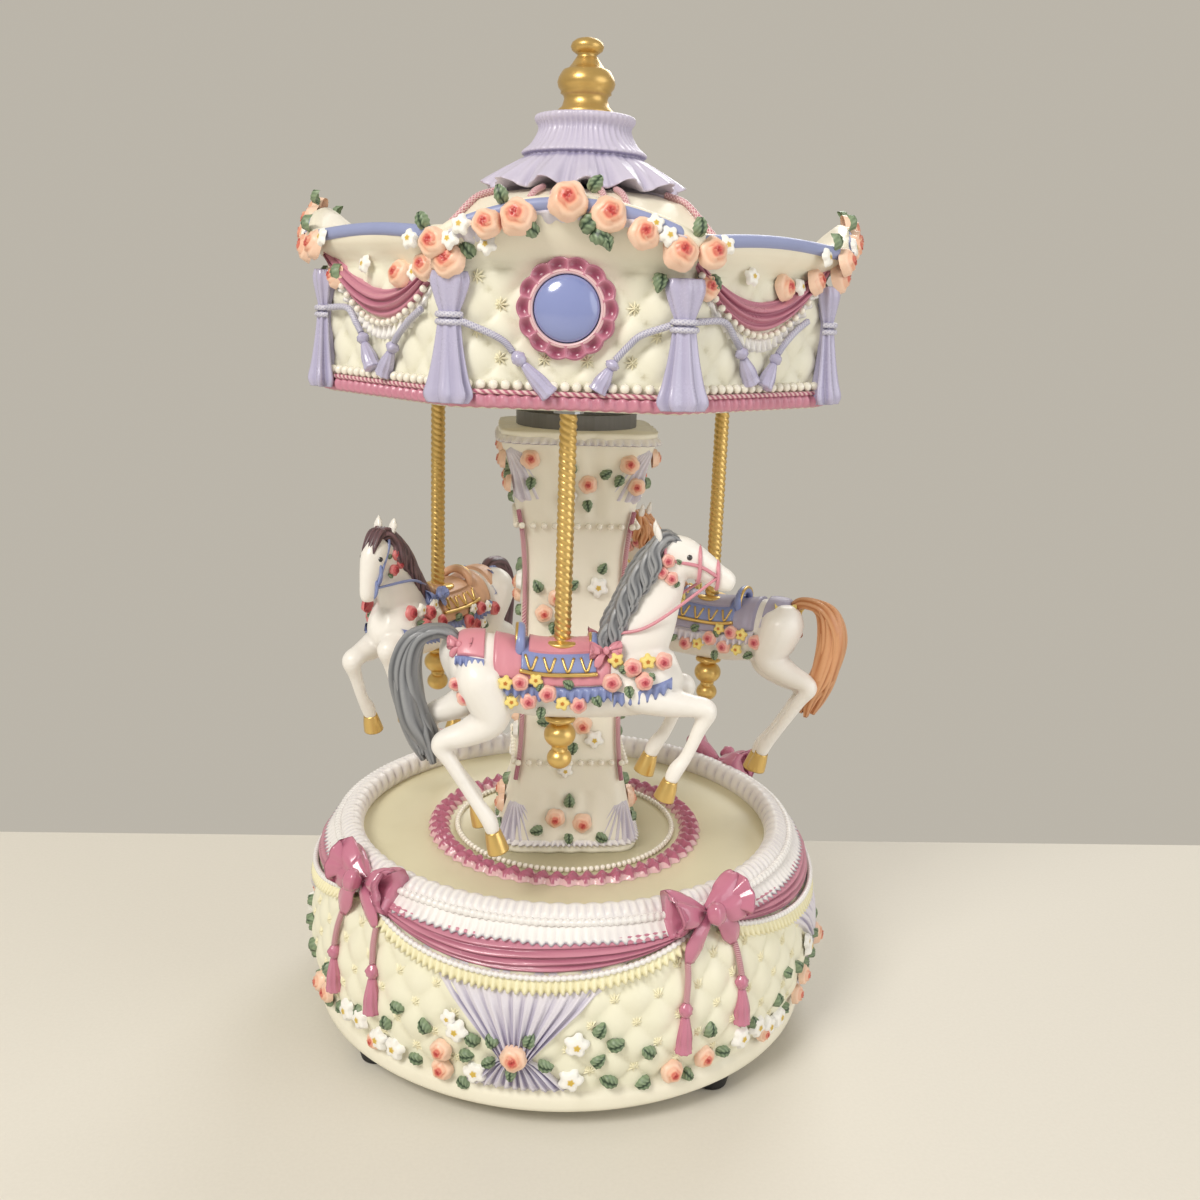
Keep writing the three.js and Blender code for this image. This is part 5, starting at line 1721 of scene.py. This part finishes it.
def horse_flowers(mark, shape, paints):
    garland = Garland(f"horse_{mark}", f"rider_{mark}", paints)
    for side in (-1, 1):
        out = (0, side, 0.12)
        for x, z, size in FLANK_ROSES:
            garland.rose(flank(x, z, side, 1.8), out, 1.35 * size, 60 * x)
        for x, z, size in FLANK_FLOWERS:
            garland.daisy(flank(x, z, side, 1.7), out, 1.3 * size, 23 * x)
        for x, z, size, turn in FLANK_LEAVES:
            garland.leaf(flank(x, z, side, 1.4), out, 1.35 * size, turn * side)
        x, z, r = shape["cheek"]
        for dx, dz in ((-3.4, 2.4), (-5.0, -0.6), (-2.2, -2.4)):
            garland.rose((x + dx, side * 4.4, z + dz), out, 2.0, 70 * dx)
        garland.leaf((x + 0.2, side * 4.0, z + 1.8), out, 2.0, -50 * side)
        garland.leaf((x - 0.2, side * 4.0, z - 3.4), out, 2.0, -150 * side)
    for bm in (garland.roses, garland.leaves, garland.daisies):
        set_on(bm, mark)
    garland.set()


bow_shape = model(bow_small)
eye_paint = resin("eye_paint", tint("1B1A1E"), tint("08080A"), 0.15, coat=1.0, grain=0.0)
horse_white = resin("horse_white", tint("F4F1EC"), tint("B7AFA8"), 0.34, reach=3.0, crease_shade_power=1.0, coat=0.2)
pink_ribbon = resin("pink_ribbon", tint("D9919F"), tint("93475C"), 0.34, reach=1.2, coat=0.2)
blue_ribbon = resin("blue_ribbon", tint("8794C6"), tint("4A5488"), 0.34, reach=1.2, coat=0.2)
peach_cloth = resin("peach_cloth", tint("DDB08F"), tint("8F5E40"), 0.4, reach=1.2)
mauve_cloth = resin("mauve_cloth", tint("ABA6BF"), tint("645E7E"), 0.4, reach=1.2)
red_petals = resin("red_petals", None, tint("6A1A24"), 0.4, reach=0.8,
                   stops=[(0.15, tint("8E1F2C")), (0.6, tint("C6444F")), (0.95, tint("DD7F80"))])
pink_petals = resin("pink_petals", None, tint("8E4450"), 0.4, reach=0.8,
                    stops=[(0.15, tint("C03B4E")), (0.5, tint("E58B8C")), (0.95, tint("F4C3B4"))])
yellow_flowers = resin("yellow_flowers", None, tint("B38F3E"), 0.4, reach=0.7,
                       stops=[(0.15, tint("C9772B")), (0.5, tint("F3DE86"))])


def locks(name, light, dark):
    # The hair's own colour, with painted shade: dark in the grooves between the locks' ridges, light on the
    # ridges.
    return resin(name, None, tint(dark), 0.38, reach=1.2, coat=0.1,
                 stops=[(0.1, tint(dark)), (0.8, tint(light))])


TRIMS = {
    "a": (HIGH, locks("grey_locks", "A3A5A9", "55585E"),
          (pink_ribbon, blue_ribbon, pink_ribbon, blue_ribbon),
          pink_ribbon, (pink_petals, leaf_paint, yellow_flowers)),
    "b": (LEVEL, locks("orange_locks", "EBB487", "B56F3F"),
          (mauve_cloth, blue_ribbon, mauve_cloth, lavender_paint),
          yellow_flowers, (pink_petals, leaf_paint, yellow_flowers)),
    "c": (ARCHED, locks("brown_locks", "7E5F66", "3A262C"),
          (peach_cloth, peach_cloth, peach_cloth, blue_ribbon),
          blue_ribbon, (red_petals, leaf_paint, white_paint)),
}
for mark, (shape, hair_paint, cloths, strap_paint, paints) in TRIMS.items():
    horse_body(mark, shape, horse_white)
    hooves(mark)
    eyes(mark, shape)
    hair(mark, shape, hair_paint)
    saddle(mark, *cloths)
    bridle(mark, shape, strap_paint)
    horse_flowers(mark, shape, paints)

# ---- Movement and other parts kept as they are ------------------------------------------------
# Under the platform sits a small clockwork: a steel spring barrel and comb, a pinned brass drum
# and a plastic-cased bedplate. These stay as built and only take their machined finishes.
METAL_BRUSH = 1100.0


def machined(name, light, dark, roughness, metal=1.0):
    material, shader, start = blank_material(name)
    place = start.node("TexCoord", output=3)
    brush = place.node("VectorMath", {0: place, 1: (1.0, 1.0, 0.06)}, operation="MULTIPLY")
    lines = start.node("TexNoise", {"Vector": brush, "Scale": METAL_BRUSH, "Detail": 3.0})
    cloud = start.node("TexNoise", {"Vector": place, "Scale": 120.0, "Detail": 2.0})
    joined((cloud * 0.5 + lines * 0.5).mix(tint(dark), tint(light)), shader, "Base Color")
    joined(lines * 0.2 + (roughness - 0.1), shader, "Roughness")
    bump = lines.node("Bump", {"Height": lines, "Strength": 0.12, "Distance": 0.0002})
    joined(bump, shader, "Normal")
    shader.inputs["Metallic"].default_value = metal
    return material


def finish_nodes(material, *nodes):
    for node in nodes:
        kept = bpy.data.objects[node]
        kept.data.materials.clear()
        kept.data.materials.append(material)


steel_finish = machined("steel_finish", "C9CBCE", "8B8E93", 0.32)
brass_finish = machined("brass_finish", "D9B968", "9A7A38", 0.34)
plastic_finish = machined("plastic_finish", "8C8C8E", "6B6B6E", 0.55, metal=0.0)
inner_resin = machined("inner_resin", "EDE8D0", "CFC8A8", 0.5, metal=0.0)
finish_nodes(steel_finish, "comb", "drive_shaft", "winding_key", "lifter_a", "lifter_b", "lifter_c")
finish_nodes(brass_finish, "spring_barrel", "pinned_drum", "governor_pinion", "governor_fan",
             "comb_bracket",
             "movement_bedplate")
finish_nodes(plastic_finish, "bottom_cover", "bearing_disc")
finish_nodes(inner_resin, "canopy_hub", "canopy_floor")
